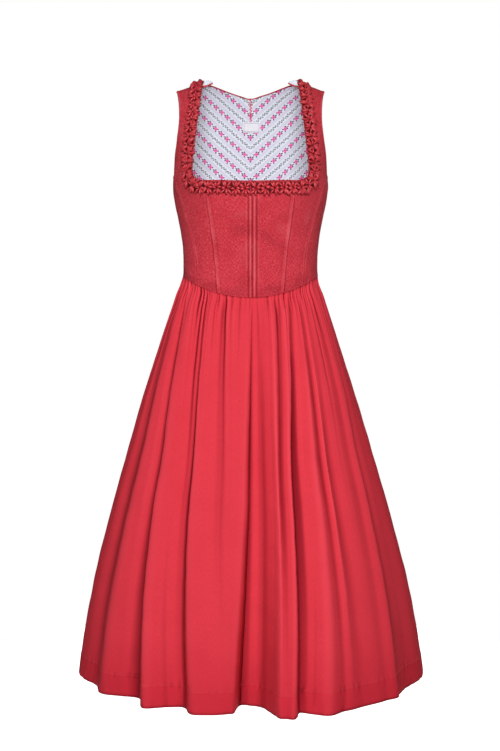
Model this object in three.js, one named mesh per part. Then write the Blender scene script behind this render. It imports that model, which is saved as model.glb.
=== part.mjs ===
import * as THREE from 'three';
import { mergeVertices } from 'three/addons/utils/BufferGeometryUtils.js';

// A sleeveless dirndl dress that keeps its worn, hollow form with no wearer in it.
// Millimetres. +Z is up, the front faces -Y, the wearer's left is +X.
// The origin is midway between the two shoulder straps, at the height of the shoulder line.
// "turn" is the angle round the body in degrees: 0 centre front, 90 wearer's left side, 180 centre back.

// ---- Driving dimensions ----

const seamGap = 0.4;            // between two pieces that are sewn together
const waistGap = 0.7;           // below the bodice, whose curved edge the skirt's top follows in facets
const restGap = 1.2;            // between a piece's surface and what lies on it, so facets stay clear
const liningGap = 1.7;          // the lining hangs a little free of the back
const frontWall = 2.0;          // front bodice cloth with its backing
const backWall = 1.3;           // side and back bodice cloth, which has a separate lining
const liningWall = 1.0;
const liningSeamGap = 1.2;      // between the lining's two halves
const skirtWall = 1.6;

const waistSide = -388;         // height of the waist seam at the sides
const waistDip = 44;            // how far the seam drops at centre front
const waistPower = 2.05;        // how quickly that drop dies out towards the sides
const hemHeight = -1202;

const shoulderNeck = 97;        // inner end of the shoulder strap, from the centre line
const shoulderOuter = 151;      // outer end of the shoulder strap
const shoulderSlope = 0.34;     // fall of the shoulder line for each millimetre outwards
const slopeCentre = 110;        // where the shoulder line crosses height 0
const slopeFade = 120;          // the slope has died out this far below the shoulder line

const bust = { x: 76, z: -222, wide: 44, tall: 52, fullness: 10 };

// One row for each level of the bodice, from the shoulder line down to below the waist.
// half: half the width; front, back: depth from the side line; square: 2 is an ellipse.
const bodiceLevels = [
  { height: 0, half: 156, front: 0.3, back: 0.3, square: 2.6 },
  { height: -4, half: 156, front: 15, back: 17, square: 2.6 },
  { height: -14, half: 156, front: 31, back: 36, square: 2.6 },
  { height: -32, half: 156, front: 49, back: 58, square: 2.6 },
  { height: -62, half: 156, front: 70, back: 80, square: 2.6 },
  { height: -100, half: 156, front: 92, back: 93, square: 2.6 },
  { height: -145, half: 156, front: 110, back: 98, square: 2.5 },
  { height: -184, half: 156.5, front: 122, back: 98, square: 2.45 },
  { height: -215, half: 157, front: 128, back: 95, square: 2.4 },
  { height: -250, half: 151.5, front: 123, back: 89, square: 2.4 },
  { height: -300, half: 141.5, front: 110, back: 82, square: 2.4 },
  { height: -345, half: 136.8, front: 101, back: 79, square: 2.4 },
  { height: -385, half: 137.4, front: 100, back: 82, square: 2.4 },
  { height: -420, half: 146, front: 104, back: 88, square: 2.4 },
  { height: -460, half: 158, front: 112, back: 98, square: 2.4 },
];

// Seams and edges of the left half, from the waist up: x out from the centre line, z height,
// at: how far along the piece's edge the point lies (0 waist, 1 top).
const princessTop = 0.5;        // where the princess and side-front seams end and the edges go on
const princessSeam = [
  { x: 67, z: -427, at: 0 },
  { x: 73, z: -350, at: 0.175 },
  { x: 84, z: -262, at: 0.375 },
  { x: 91, z: -207, at: 0.5 },
];
const frontNeckEdge = [
  { x: 91, z: -207, at: 0.5 },
  { x: 103, z: -204, at: 0.56 },
  { x: 113, z: -196, at: 0.62 },
  { x: 116.5, z: -181, at: 0.68 },
  { x: 113, z: -135, at: 0.75 },
  { x: 106.5, z: -75, at: 0.83 },
  { x: 103, z: -40, at: 0.88 },
  { x: 100, z: -14, at: 0.92 },
  { x: 98.5, z: -1.5, at: 0.96 },
  { x: shoulderNeck, z: 4.4, at: 1 },
];
const sideFrontSeam = [
  { x: 107, z: -413, at: 0 },
  { x: 109, z: -350, at: 0.14 },
  { x: 132, z: -255, at: 0.35 },
  { x: 146.5, z: -208, at: 0.45 },
  { x: 153.5, z: -184, at: 0.5 },
];
const frontArmhole = [
  { x: 153.5, z: -184, at: 0.5 },
  { x: 152, z: -150, at: 0.6 },
  { x: 148, z: -118, at: 0.75 },
  { x: 143.8, z: -80, at: 0.83 },
  { x: 144, z: -50, at: 0.88 },
  { x: 146.5, z: -30, at: 0.92 },
  { x: 149.5, z: -18, at: 0.96 },
  { x: shoulderOuter, z: -14, at: 1 },
];
const sideBackSeam = [
  { x: 114, z: -401, at: 0 },
  { x: 117, z: -340, at: 0.25 },
  { x: 135, z: -250, at: 0.65 },
  { x: 147, z: -178, at: 1 },
];
const backSeam = [
  { x: 58, z: -400, at: 0 },
  { x: 64, z: -330, at: 0.15 },
  { x: 82, z: -245, at: 0.32 },
  { x: 110, z: -170, at: 0.48 },
  { x: 139, z: -118, at: 0.6 },
];
const backArmhole = [
  { x: 139, z: -118, at: 0.6 },
  { x: 139.5, z: -84, at: 0.7 },
  { x: 142, z: -50, at: 0.8 },
  { x: 146, z: -30, at: 0.87 },
  { x: 149.5, z: -18, at: 0.94 },
  { x: shoulderOuter, z: -14, at: 1 },
];
const backSeamTop = 0.6;        // where the back seam ends and the armhole goes on

const lowBackArmhole = [
  { x: 139, z: -118, at: 0 },
  { x: 141.5, z: -146, at: 0.5 },
  { x: 147, z: -178, at: 1 },
];
const liningArmhole = [
  { x: 155, z: -189, at: 0.45 },
  { x: 146.5, z: -176, at: 0.49 },
  { x: 141, z: -146, at: 0.56 },
  { x: 138.5, z: -118, at: 0.62 },
  { x: 139, z: -84, at: 0.7 },
  { x: 141.5, z: -50, at: 0.8 },
  { x: 145.5, z: -30, at: 0.87 },
  { x: 149, z: -18, at: 0.94 },
  { x: 150.5, z: -14, at: 1 },
];
// The back neckline: fall is how far below the shoulder line it is cut, along the cloth.
const backNeckline = [
  { x: 0, fall: 43.5 },
  { x: 22, fall: 36.5 },
  { x: 44, fall: 27 },
  { x: 66, fall: 15.5 },
  { x: 80, fall: 8 },
  { x: 91, fall: 3.5 },
  { x: shoulderNeck, fall: 0 },
];
const frontNeckCentre = -209;   // height of the front neckline at centre front
const frontNeckCorner = { x: 91, rise: 2 };   // where the neckline's foot meets the side-front piece
const underarmHeight = -189;
const liningEdge = { turn: 93, split: 0.45 };   // the lining's side seam, and its share of the edge
const liningInset = 0.5;        // the lining's strap stops this far inside the cloth's outer end

const waistShare = 0.15;        // lowest share of an edge, which bends to meet the waist seam
const shoulderShare = 0.06;     // top share of an edge, which bends to meet the shoulder line
const offCentre = 0.01;         // a point on the back's centre line is placed this far to one side

// The ruched band starts this far from the neckline's edge, and centreShare of a stretch from
// centre front, where the two halves stay apart.
const trim = { from: 3, width: 25, edgeThick: 1.6, thick: 5.2, centreShare: 0.05 };
const piping = { radius: 1.5, sides: 6, gap: 1 };
const endShare = 0.008;         // trim and piping end this share of the edge short of the shoulder
const label = { left: -16, right: 20, top: -62, bottom: -83, wall: 0.8 };

// One row for each level of the skirt's outline.
const skirtLevels = [
  { height: -388, half: 136.9 },
  { height: -435, half: 152.7 },
  { height: -484, half: 170 },
  { height: -533, half: 186.6 },
  { height: -606, half: 211 },
  { height: -704, half: 240 },
  { height: -801, half: 267.5 },
  { height: -899, half: 294 },
  { height: -997, half: 319 },
  { height: -1094, half: 339 },
  { height: -1168, half: 351.6 },
  { height: hemHeight, half: 357 },
];
const skirtHem = { half: 357, front: 312, back: 326 };
const skirtWaist = { half: 143, front: 102, back: 85 };

// One row for each ridge or trough that runs down the skirt, in order round the body.
// Turns at the waist, half way down and at the hem, then how far it stands out (+) or in (-) there.
const skirtFolds = [
  { name: 'right side seam', turns: [-90, -90, -90], stands: [0, 0, 0] },
  { name: 'ridge', turns: [-83, -80, -80], stands: [0, -3, -12] },
  { name: 'trough', turns: [-78, -73, -71], stands: [-1, -14, -27] },
  { name: 'edge', turns: [-72, -64, -61.4], stands: [0, -2, -13] },
  { name: 'slope', turns: [-68, -58, -55], stands: [-1, -10, -31] },
  { name: 'trough', turns: [-66, -52, -48], stands: [-3, -24, -46] },
  { name: 'edge', turns: [-62, -47, -38.6], stands: [0, 3, -3] },
  { name: 'slope', turns: [-54, -39, -32], stands: [-1, -8, -30] },
  { name: 'trough', turns: [-44, -33, -26.3], stands: [-4, -20, -39] },
  { name: 'edge', turns: [-40, -28.5, -20.8], stands: [0, 2, -6] },
  { name: 'panel', turns: [-34, -22, -14], stands: [0, -1, -9] },
  { name: 'trough', turns: [-28, -16.5, -10.5], stands: [-6, -5, -14] },
  { name: 'panel', turns: [-20, -11, -8.2], stands: [0, -1, -19] },
  { name: 'edge', turns: [-3, -3.2, -6.1], stands: [0, 0, -26] },
  { name: 'centre front seam', turns: [1, -0.8, -4.6], stands: [-1, -19, -74] },
  { name: 'trough', turns: [4, 2.6, 0.6], stands: [0, -23, -71] },
  { name: 'trough', turns: [9, 7, 4.6], stands: [-1, -23, -60] },
  { name: 'slope', turns: [14, 10.6, 7.2], stands: [0, -8, -28] },
  { name: 'ridge', turns: [20, 13, 9.2], stands: [0, 4, 5] },
  { name: 'trough', turns: [27, 15.6, 11.5], stands: [-5, -6, 11] },
  { name: 'edge', turns: [34, 19.4, 14.3], stands: [0, 5, 15] },
  { name: 'trough', turns: [38, 22.6, 17.8], stands: [-5, -17, -19] },
  { name: 'slope', turns: [41, 28, 21], stands: [-1, -9, -7] },
  { name: 'ridge', turns: [44, 33, 26], stands: [0, 2, 14] },
  { name: 'trough', turns: [47, 37.5, 32.5], stands: [-4, -7, 1] },
  { name: 'ridge', turns: [50.5, 39.7, 36.5], stands: [0, 2, -1] },
  { name: 'trough', turns: [54, 42.5, 41], stands: [-4, -5, -5] },
  { name: 'ridge', turns: [58, 49, 48], stands: [0, 2, -4] },
  { name: 'trough', turns: [63, 55, 52], stands: [-4, -2, -4] },
  { name: 'edge', turns: [71, 59.5, 56.5], stands: [0, 3, 0] },
  { name: 'trough', turns: [77, 63.5, 61], stands: [-4, -10, -11] },
  { name: 'slope', turns: [82, 71, 69], stands: [-1, -7, -18] },
  { name: 'ridge', turns: [86, 80, 79], stands: [0, -2, -7] },
  { name: 'left side seam', turns: [90, 90, 90], stands: [0, 0, 0] },
  { name: 'slope', turns: [96, 98, 98], stands: [-1, -6, -14] },
  { name: 'trough', turns: [102, 105, 106], stands: [-3, -14, -30] },
  { name: 'edge', turns: [106, 110, 112], stands: [0, 1, -2] },
  { name: 'slope', turns: [114, 119, 121], stands: [-2, -10, -26] },
  { name: 'trough', turns: [121, 127, 130], stands: [-4, -20, -46] },
  { name: 'edge', turns: [125, 131, 135], stands: [0, 3, 2] },
  { name: 'slope', turns: [133, 140, 143], stands: [-1, -4, -12] },
  { name: 'trough', turns: [139, 146, 149], stands: [-4, -12, -30] },
  { name: 'ridge', turns: [144, 151, 155], stands: [0, 3, 8] },
  { name: 'slope', turns: [150, 157, 160], stands: [-2, -6, -14] },
  { name: 'trough', turns: [156, 162, 165], stands: [-4, -22, -52] },
  { name: 'edge', turns: [161, 166, 169], stands: [0, 3, 0] },
  { name: 'panel', turns: [168, 172, 173.5], stands: [-1, -3, -6] },
  { name: 'trough', turns: [175, 177, 178], stands: [-3, -16, -42] },
  { name: 'centre back seam', turns: [180, 180, 180.5], stands: [-1, -19, -50] },
  { name: 'edge', turns: [184, 184, 184.6], stands: [0, 2, -6] },
  { name: 'panel', turns: [191, 190.5, 191], stands: [-1, -4, -12] },
  { name: 'trough', turns: [197, 197, 198], stands: [-4, -18, -50] },
  { name: 'edge', turns: [202, 202, 203], stands: [0, 3, 6] },
  { name: 'slope', turns: [209, 209, 210], stands: [-2, -6, -16] },
  { name: 'trough', turns: [214, 215, 217], stands: [-4, -14, -34] },
  { name: 'ridge', turns: [219, 221, 223], stands: [0, 3, 2] },
  { name: 'slope', turns: [226, 228, 230], stands: [-1, -8, -22] },
  { name: 'trough', turns: [232, 234, 236], stands: [-4, -20, -48] },
  { name: 'edge', turns: [237, 239, 240.5], stands: [0, 2, 2] },
  { name: 'slope', turns: [245, 246, 247], stands: [-2, -8, -18] },
  { name: 'trough', turns: [251, 252, 253], stands: [-3, -14, -34] },
  { name: 'edge', turns: [256, 257, 258], stands: [0, 0, -4] },
  { name: 'slope', turns: [263, 264, 264], stands: [-1, -4, -10] },
];
const skirtRows = [0, 0.06, 0.16, 0.31, 0.48, 0.65, 0.83, 1];
const columnWidth = 38;         // widest stretch of hem between two columns of points
const skirtSquare = { waist: 2.4, below: 2, until: 0.4 };   // squarish at the waist, an oval below
const foldGrowth = 1.6;         // how fast a fold grows from the waist to half way down

// How many stretches each piece's grid has, across and up.
const grids = {
  frontCentre: { columns: 4, rows: 12 },
  frontSide: { columns: 4, rows: 24 },
  side: { columns: 6, rows: 12 },
  backSide: { columns: 3, rows: 12 },
  backCentre: { columns: 14, rows: 20 },
  lining: { columns: 7, rows: 20 },
  label: { columns: 4, rows: 2 },
  trim: { columns: 4, foot: 5 },
  backNeck: { half: 9 },
};

const searchSteps = 40;
const aimSteps = 12;
const longestStride = 6;        // of a walk over the surface
const probe = { turn: 0.4, level: 0.02 };      // steps that a surface's directions are measured by
const weldDistance = 1e-3;

const redCloth = { color: 0xc23a48, roughness: 0.85, metalness: 0 };
const redSkirt = { color: 0xdc4556, roughness: 0.55, metalness: 0 };
const flowerCotton = { color: 0xdbd7e7, roughness: 0.8, metalness: 0 };
const redCord = { color: 0xa02c38, roughness: 0.5, metalness: 0 };
const whiteTape = { color: 0xf2f0ee, roughness: 0.8, metalness: 0 };

// ---- Numbers along tables ----

// A smooth curve through four values, t from 0 at the second to 1 at the third.
function smoothStep4(a, b, c, d, t) {
  return 0.5 * (2 * b + (c - a) * t + (2 * a - 5 * b + 4 * c - d) * t * t
    + (3 * b - a - 3 * c + d) * t * t * t);
}

// mirror is 1 where a column goes on evenly past the first row, -1 where it changes sign there.
function readTable(rows, column, place, mirror = 1) {
  const last = rows.length - 1;
  const i = Math.min(Math.max(Math.floor(place), 0), last - 1);
  const value = (k) => (k < 0 ? mirror * rows[-k][column] : rows[Math.min(k, last)][column]);
  return smoothStep4(value(i - 1), value(i), value(i + 1), value(i + 2), place - i);
}

// The place in a table of falling heights where one height is reached.
function placeOfHeight(heightAt, last, height) {
  let low = 0;
  let high = last;
  for (let step = 0; step < searchSteps; step += 1) {
    const middle = (low + high) / 2;
    if (heightAt(middle) > height) low = middle;
    else high = middle;
  }
  return (low + high) / 2;
}

function lineThrough(points, column, at) {
  let i = 0;
  while (i < points.length - 2 && at > points[i + 1].at) i += 1;
  const a = points[i];
  const b = points[i + 1];
  return a[column] + (b[column] - a[column]) * (at - a.at) / (b.at - a.at);
}

// ---- The bodice's surface ----

function bodicePoint(turn, level) {
  const angle = THREE.MathUtils.degToRad(turn);
  const sine = Math.sin(angle);
  const cosine = Math.cos(angle);
  const height = readTable(bodiceLevels, 'height', level);
  const half = readTable(bodiceLevels, 'half', level);
  const depth = readTable(bodiceLevels, cosine > 0 ? 'front' : 'back', level, -1);
  const square = readTable(bodiceLevels, 'square', level);
  const x = half * sine;
  let y = -depth * Math.sign(cosine) * Math.max(1 - Math.abs(sine) ** square, 0) ** (1 / square);
  if (cosine > 0) {
    const across = (Math.abs(x) - bust.x) / bust.wide;
    const up = (height - bust.z) / bust.tall;
    y -= bust.fullness * Math.exp(-across * across - up * up);
  }
  return new THREE.Vector3(x, y, height + shoulderRise(x) * slopeShare(height));
}

function shoulderRise(x) {
  return shoulderSlope * (slopeCentre - Math.abs(x));
}

function slopeShare(height) {
  const share = Math.min(Math.max(1 + height / slopeFade, 0), 1);
  return share * share * (3 - 2 * share);
}

// The turn and level of the point at x and z on the front (or on the back).
function bodiceSpot(x, z, onBack) {
  const last = bodiceLevels.length - 1;
  const heightAt = (level) => {
    const height = readTable(bodiceLevels, 'height', level);
    return height + shoulderRise(x) * slopeShare(height);
  };
  return spotAtLevel(x, placeOfHeight(heightAt, last, z), onBack);
}

function spotAtLevel(x, level, onBack) {
  const sine = Math.min(Math.abs(x) / readTable(bodiceLevels, 'half', level), 1);
  const turn = THREE.MathUtils.radToDeg(Math.asin(sine)) * Math.sign(x);
  return [onBack ? 180 - turn : turn, level];
}

function bodiceNormal(turn, level) {
  const last = bodiceLevels.length - 1;
  const up = bodicePoint(turn, Math.max(level - probe.level, 0));
  const down = bodicePoint(turn, Math.min(level + probe.level, last));
  const left = bodicePoint(turn + probe.turn, level);
  const right = bodicePoint(turn - probe.turn, level);
  return left.sub(right).cross(up.sub(down)).normalize();
}

// A point of the bodice, lifted off its surface along the normal.
function bodiceLifted(spot, lift) {
  const point = bodicePoint(spot[0], spot[1]);
  return point.addScaledVector(bodiceNormal(spot[0], spot[1]), lift);
}

// Walks over the bodice's surface in a given direction, and returns the spot reached.
function walkOver(spot, direction, distance) {
  const steps = Math.max(1, Math.ceil(Math.abs(distance) / longestStride));
  let [turn, level] = spot;
  for (let i = 0; i < steps; i += 1) {
    const here = bodicePoint(turn, level);
    const byTurn = bodicePoint(turn + probe.turn, level).sub(here).divideScalar(probe.turn);
    const byLevel = bodicePoint(turn, level + probe.level).sub(here).divideScalar(probe.level);
    const go = direction.clone().multiplyScalar(distance / steps);
    const tt = byTurn.dot(byTurn);
    const tl = byTurn.dot(byLevel);
    const ll = byLevel.dot(byLevel);
    const gt = go.dot(byTurn);
    const gl = go.dot(byLevel);
    const size = tt * ll - tl * tl;
    turn += (gt * ll - gl * tl) / size;
    level = Math.max(level + (gl * tt - gt * tl) / size, 0);
  }
  return [turn, level];
}

// ---- Edges of the bodice's pieces, as curves of turn and level ----

function mirrored(spot) {
  return [-spot[0], spot[1]];
}

// An edge given by table rows, on the front or the back.
function edgeCurve(points, onBack) {
  return (at) => bodiceSpot(lineThrough(points, 'x', at), lineThrough(points, 'z', at), onBack);
}

function joinedCurve(lower, upper, split) {
  return (at) => (at <= split ? lower(at) : upper(at));
}

function waistHeight(turn) {
  const forward = Math.max(Math.cos(THREE.MathUtils.degToRad(turn)), 0);
  return waistSide - waistDip * forward ** waistPower;
}

function waistSpot(turn) {
  const heightAt = (level) => readTable(bodiceLevels, 'height', level);
  return [turn, placeOfHeight(heightAt, bodiceLevels.length - 1, waistHeight(turn))];
}

// An edge whose first spot is moved on to the waist seam.
function fromWaist(curve) {
  const start = curve(0);
  const onSeam = waistSpot(start[0]);
  return (at) => {
    const spot = curve(at);
    const share = Math.max(1 - at / waistShare, 0);
    return [spot[0], spot[1] + (onSeam[1] - start[1]) * share];
  };
}

function backNeckSpot(x) {
  const reach = Math.min(Math.abs(x), shoulderNeck);
  let i = 0;
  while (i < backNeckline.length - 2 && reach > backNeckline[i + 1].x) i += 1;
  const a = backNeckline[i];
  const b = backNeckline[i + 1];
  const fall = a.fall + (b.fall - a.fall) * (reach - a.x) / (b.x - a.x);
  const heightAt = (level) => readTable(bodiceLevels, 'height', level);
  return spotAtLevel(x, placeOfHeight(heightAt, bodiceLevels.length - 1, -Math.max(fall, 0)), true);
}

// ---- Closed walls from grids of points ----

// Joins an outer and an inner grid of points (rows of columns) into one closed wall.
function wallGeometry(outer, inner) {
  const rows = outer.length;
  const columns = outer[0].length;
  const points = [...outer.flat(), ...inner.flat()];
  const indices = [];
  const at = (side, row, column) => side * rows * columns + row * columns + column;
  const quad = (a, b, c, d) => indices.push(a, b, c, a, c, d);
  for (let r = 0; r < rows - 1; r += 1) {
    for (let c = 0; c < columns - 1; c += 1) {
      const rising = outer[r][c].distanceTo(outer[r + 1][c + 1]);
      const falling = outer[r + 1][c].distanceTo(outer[r][c + 1]);
      const outside = [at(0, r, c), at(0, r, c + 1), at(0, r + 1, c + 1), at(0, r + 1, c)];
      const inside = [at(1, r, c), at(1, r + 1, c), at(1, r + 1, c + 1), at(1, r, c + 1)];
      if (falling < rising - 1e-6) {
        outside.push(outside.shift());
        inside.push(inside.shift());
      }
      quad(...outside);
      quad(...inside);
    }
  }
  for (let c = 0; c < columns - 1; c += 1) {
    quad(at(0, 0, c), at(1, 0, c), at(1, 0, c + 1), at(0, 0, c + 1));
    quad(at(0, rows - 1, c), at(0, rows - 1, c + 1), at(1, rows - 1, c + 1), at(1, rows - 1, c));
  }
  for (let r = 0; r < rows - 1; r += 1) {
    quad(at(0, r, 0), at(0, r + 1, 0), at(1, r + 1, 0), at(1, r, 0));
    quad(at(0, r, columns - 1), at(1, r, columns - 1), at(1, r + 1, columns - 1),
      at(0, r + 1, columns - 1));
  }
  const geometry = new THREE.BufferGeometry().setFromPoints(points);
  geometry.setIndex(indices);
  return outwards(mergeVertices(geometry, weldDistance));
}

// Turns the faces round where the wall came out inside out.
function outwards(geometry) {
  const place = geometry.getAttribute('position');
  const index = geometry.getIndex();
  const corner = (k) => new THREE.Vector3().fromBufferAttribute(place, index.getX(k));
  let volume = 0;
  for (let k = 0; k < index.count; k += 3) {
    volume += corner(k).dot(corner(k + 1).cross(corner(k + 2)));
  }
  if (volume < 0) {
    for (let k = 0; k < index.count; k += 3) {
      const first = index.getX(k);
      index.setX(k, index.getX(k + 1));
      index.setX(k + 1, first);
    }
  }
  geometry.computeVertexNormals();
  return geometry;
}

function piece(name, geometry, finish) {
  const mesh = new THREE.Mesh(geometry, new THREE.MeshStandardMaterial(finish));
  mesh.name = name;
  return mesh;
}

// ---- Bodice pieces ----

// A patch between four edges, with half a seam gap left free along each chosen edge.
function patchSpots({ bottom, top, left, right, columns, rows }) {
  const spots = [];
  for (let r = 0; r <= rows; r += 1) {
    const v = r / rows;
    const row = [];
    for (let c = 0; c <= columns; c += 1) {
      const u = c / columns;
      const corner = (k) => (1 - u) * (1 - v) * bottom(0)[k] + u * (1 - v) * bottom(1)[k]
        + (1 - u) * v * top(0)[k] + u * v * top(1)[k];
      const mix = (k) => (1 - v) * bottom(u)[k] + v * top(u)[k]
        + (1 - u) * left(v)[k] + u * right(v)[k] - corner(k);
      row.push([mix(0), mix(1)]);
    }
    spots.push(row);
  }
  return spots;
}

// Pulls the outermost columns and the lowest row of spots in, to leave the seam gaps.
function trimmedSpots(spots, gap) {
  const pull = (spot, towards) => {
    const from = bodicePoint(spot[0], spot[1]);
    const span = bodicePoint(towards[0], towards[1]).distanceTo(from);
    const share = Math.min(gap / Math.max(span, 1e-6), 0.4);
    return [spot[0] + (towards[0] - spot[0]) * share, spot[1] + (towards[1] - spot[1]) * share];
  };
  return spots.map((row, r) => {
    const moved = row.map((spot) => spot.slice());
    const last = row.length - 1;
    moved[0] = pull(row[0], row[1]);
    moved[last] = pull(row[last], row[last - 1]);
    return r === 0 ? moved.map((spot, c) => pull(spot, spots[1][c])) : moved;
  });
}

function bodicePiece(name, edges, { lift, wall, gap, finish, flip }) {
  let spots = trimmedSpots(patchSpots(edges), gap);
  if (flip) spots = spots.map((row) => row.map(mirrored));
  const outer = spots.map((row) => row.map((spot) => bodiceLifted(spot, lift)));
  const inner = spots.map((row) => row.map((spot) => bodiceLifted(spot, lift - wall)));
  return piece(name, wallGeometry(outer, inner), finish);
}

// A straight run of spots at the waist seam between two turns.
function waistCurve(from, to) {
  return (u) => waistSpot(from + (to - from) * u);
}

// The foot of the front neckline, u from 0 at centre front to 1 at the princess seam.
function neckFootSpot(u) {
  return bodiceSpot(frontNeckCorner.x * u, frontNeckCentre + frontNeckCorner.rise * u, false);
}

function frontCentreEdges() {
  const seam = fromWaist(edgeCurve(princessSeam, false));
  const right = (v) => seam(v * princessTop);
  const left = (v) => {
    const foot = waistHeight(0);
    return bodiceSpot(0, foot + (frontNeckCentre - foot) * v, false);
  };
  const top = neckFootSpot;
  return { bottom: waistCurve(0, seam(0)[0]), top, left, right, ...grids.frontCentre };
}

function frontSideEdges() {
  const left = joinedCurve(
    fromWaist(edgeCurve(princessSeam, false)), edgeCurve(frontNeckEdge, false), princessTop);
  const right = joinedCurve(
    fromWaist(edgeCurve(sideFrontSeam, false)), edgeCurve(frontArmhole, false), princessTop);
  const top = (u) => spotAtLevel(shoulderNeck + (shoulderOuter - shoulderNeck) * u, 0, false);
  const start = left(0)[0];
  const end = right(0)[0];
  return {
    bottom: waistCurve(start, end), top, left: endAtShoulder(left), right: endAtShoulder(right),
    ...grids.frontSide,
  };
}

// Brings the upper end of an edge exactly on to the shoulder line.
function endAtShoulder(curve) {
  return (at) => {
    const spot = curve(at);
    const share = Math.max(1 - (1 - at) / shoulderShare, 0);
    return [spot[0], spot[1] * (1 - share)];
  };
}

function sideEdges() {
  const frontSeam = fromWaist(edgeCurve(sideFrontSeam, false));
  const backSeamCurve = fromWaist(edgeCurve(sideBackSeam, true));
  const left = (v) => frontSeam(v * princessTop);
  const right = (v) => backSeamCurve(v);
  const first = left(1);
  const last = right(1);
  const low = bodiceSpot(0, underarmHeight, false)[1];
  const top = (u) => {
    const turn = first[0] + (last[0] - first[0]) * u;
    const straight = first[1] + (last[1] - first[1]) * u;
    return [turn, straight + (low - straight) * Math.sin(Math.PI * u)];
  };
  return { bottom: waistCurve(left(0)[0], right(0)[0]), top, left, right, ...grids.side };
}

function backSideEdges() {
  const outerSeam = fromWaist(edgeCurve(sideBackSeam, true));
  const innerSeam = fromWaist(edgeCurve(backSeam, true));
  const left = (v) => outerSeam(v);
  const right = (v) => innerSeam(v * backSeamTop);
  const armhole = edgeCurve(lowBackArmhole, true);
  const top = (u) => armhole(1 - u);
  return { bottom: waistCurve(left(0)[0], right(0)[0]), top, left, right, ...grids.backSide };
}

function backCentreEdges() {
  const edge = endAtShoulder(joinedCurve(
    fromWaist(edgeCurve(backSeam, true)), edgeCurve(backArmhole, true), backSeamTop));
  const left = edge;
  const right = (v) => {
    const spot = edge(v);
    return [360 - spot[0], spot[1]];
  };
  const top = (u) => {
    const x = shoulderOuter * (1 - 2 * u);
    const spot = backNeckSpot(x);
    return x < 0 ? [360 - backNeckSpot(-x)[0], spot[1]] : spot;
  };
  const start = edge(0)[0];
  return { bottom: waistCurve(start, 360 - start), top, left, right, ...grids.backCentre };
}

function liningEdges() {
  const armhole = joinedCurve(
    (at) => {
      const share = at / liningEdge.split;
      const foot = waistSpot(liningEdge.turn)[1];
      const head = bodiceSpot(0, underarmHeight, false)[1];
      return [liningEdge.turn, foot + (head - foot) * share];
    },
    edgeCurve(liningArmhole, true), liningEdge.split);
  const left = endAtShoulder(armhole);
  const neck = backNeckSpot(0)[1];
  const foot = waistSpot(180)[1];
  const right = (v) => [180, foot + (neck - foot) * v];
  const top = (u) => backNeckSpot((shoulderOuter - liningInset) * (1 - u));
  return { bottom: waistCurve(liningEdge.turn, 180), top, left, right, ...grids.lining };
}

function bodicePieces() {
  const front = { lift: 0, wall: frontWall, gap: seamGap / 2, finish: redCloth };
  const back = { lift: 0, wall: backWall, gap: seamGap / 2, finish: redCloth };
  const lining = {
    lift: -backWall - liningGap, wall: liningWall, gap: liningSeamGap / 2, finish: flowerCotton,
  };
  const pair = (name, edges, form) => [
    bodicePiece(`${name}_left`, edges, form),
    bodicePiece(`${name}_right`, edges, { ...form, flip: true }),
  ];
  return [
    ...pair('front_centre', frontCentreEdges(), front),
    ...pair('front_side', frontSideEdges(), front),
    ...pair('side', sideEdges(), back),
    ...pair('back_side', backSideEdges(), back),
    bodicePiece('back_centre', backCentreEdges(), back),
    ...pair('lining_back', liningEdges(), lining),
  ];
}

function labelPiece() {
  const lift = -backWall - liningGap - liningWall - restGap;
  const { columns, rows } = grids.label;
  const spots = [];
  for (let r = 0; r <= rows; r += 1) {
    const z = label.bottom + (label.top - label.bottom) * r / rows;
    const row = [];
    for (let c = 0; c <= columns; c += 1) {
      const x = label.left + (label.right - label.left) * c / columns;
      row.push(bodiceSpot(x || offCentre, z, true));
    }
    spots.push(row);
  }
  const outer = spots.map((row) => row.map((spot) => bodiceLifted(spot, lift)));
  const inner = spots.map((row) => row.map((spot) => bodiceLifted(spot, lift - label.wall)));
  return piece('label', wallGeometry(outer, inner), whiteTape);
}

// ---- Neckline trim and piping ----

// Spots along the front neckline's left half, from centre front to the shoulder.
function frontNeckSpots() {
  const spots = [];
  const across = grids.trim.foot;
  for (let i = 0; i < across; i += 1) spots.push(neckFootSpot((i + trim.centreShare) / across));
  const up = endAtShoulder(edgeCurve(frontNeckEdge, false));
  const last = grids.frontSide.rows;
  for (let i = last * princessTop; i <= last; i += 1) {
    spots.push(up(Math.min(i / last, 1 - endShare)));
  }
  return spots;
}

function backNeckSpots() {
  const spots = [];
  const { half } = grids.backNeck;
  for (let i = -half; i <= half; i += 1) {
    const x = shoulderNeck * (1 - 2 * endShare) * Math.sin(Math.PI / 2 * i / half);
    const spot = backNeckSpot(Math.abs(x) || offCentre);
    spots.push(x < 0 ? [360 - spot[0], spot[1]] : spot);
  }
  return spots;
}

// The direction along a run of spots, and the one across it in the cloth, away from the opening.
function frameAlong(spots, i) {
  const before = bodicePoint(...spots[Math.max(i - 1, 0)]);
  const after = bodicePoint(...spots[Math.min(i + 1, spots.length - 1)]);
  const along = after.sub(before).normalize();
  const normal = bodiceNormal(...spots[i]);
  const across = along.clone().cross(normal).normalize();
  return { normal, across };
}

function trimGeometry(flip) {
  const spots = frontNeckSpots();
  const { columns } = grids.trim;
  const top = [];
  const foot = [];
  spots.forEach((spot, i) => {
    const { across } = frameAlong(spots, i);
    const topRow = [];
    const footRow = [];
    for (let c = 0; c <= columns; c += 1) {
      const share = c / columns;
      const there = walkOver(spot, across, trim.from + trim.width * share);
      const here = flip ? mirrored(there) : there;
      const crown = trim.edgeThick + (trim.thick - trim.edgeThick) * Math.sin(Math.PI * share);
      footRow.push(bodiceLifted(here, restGap));
      topRow.push(bodiceLifted(here, restGap + crown));
    }
    top.push(topRow);
    foot.push(footRow);
  });
  return wallGeometry(top, foot);
}

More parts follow.
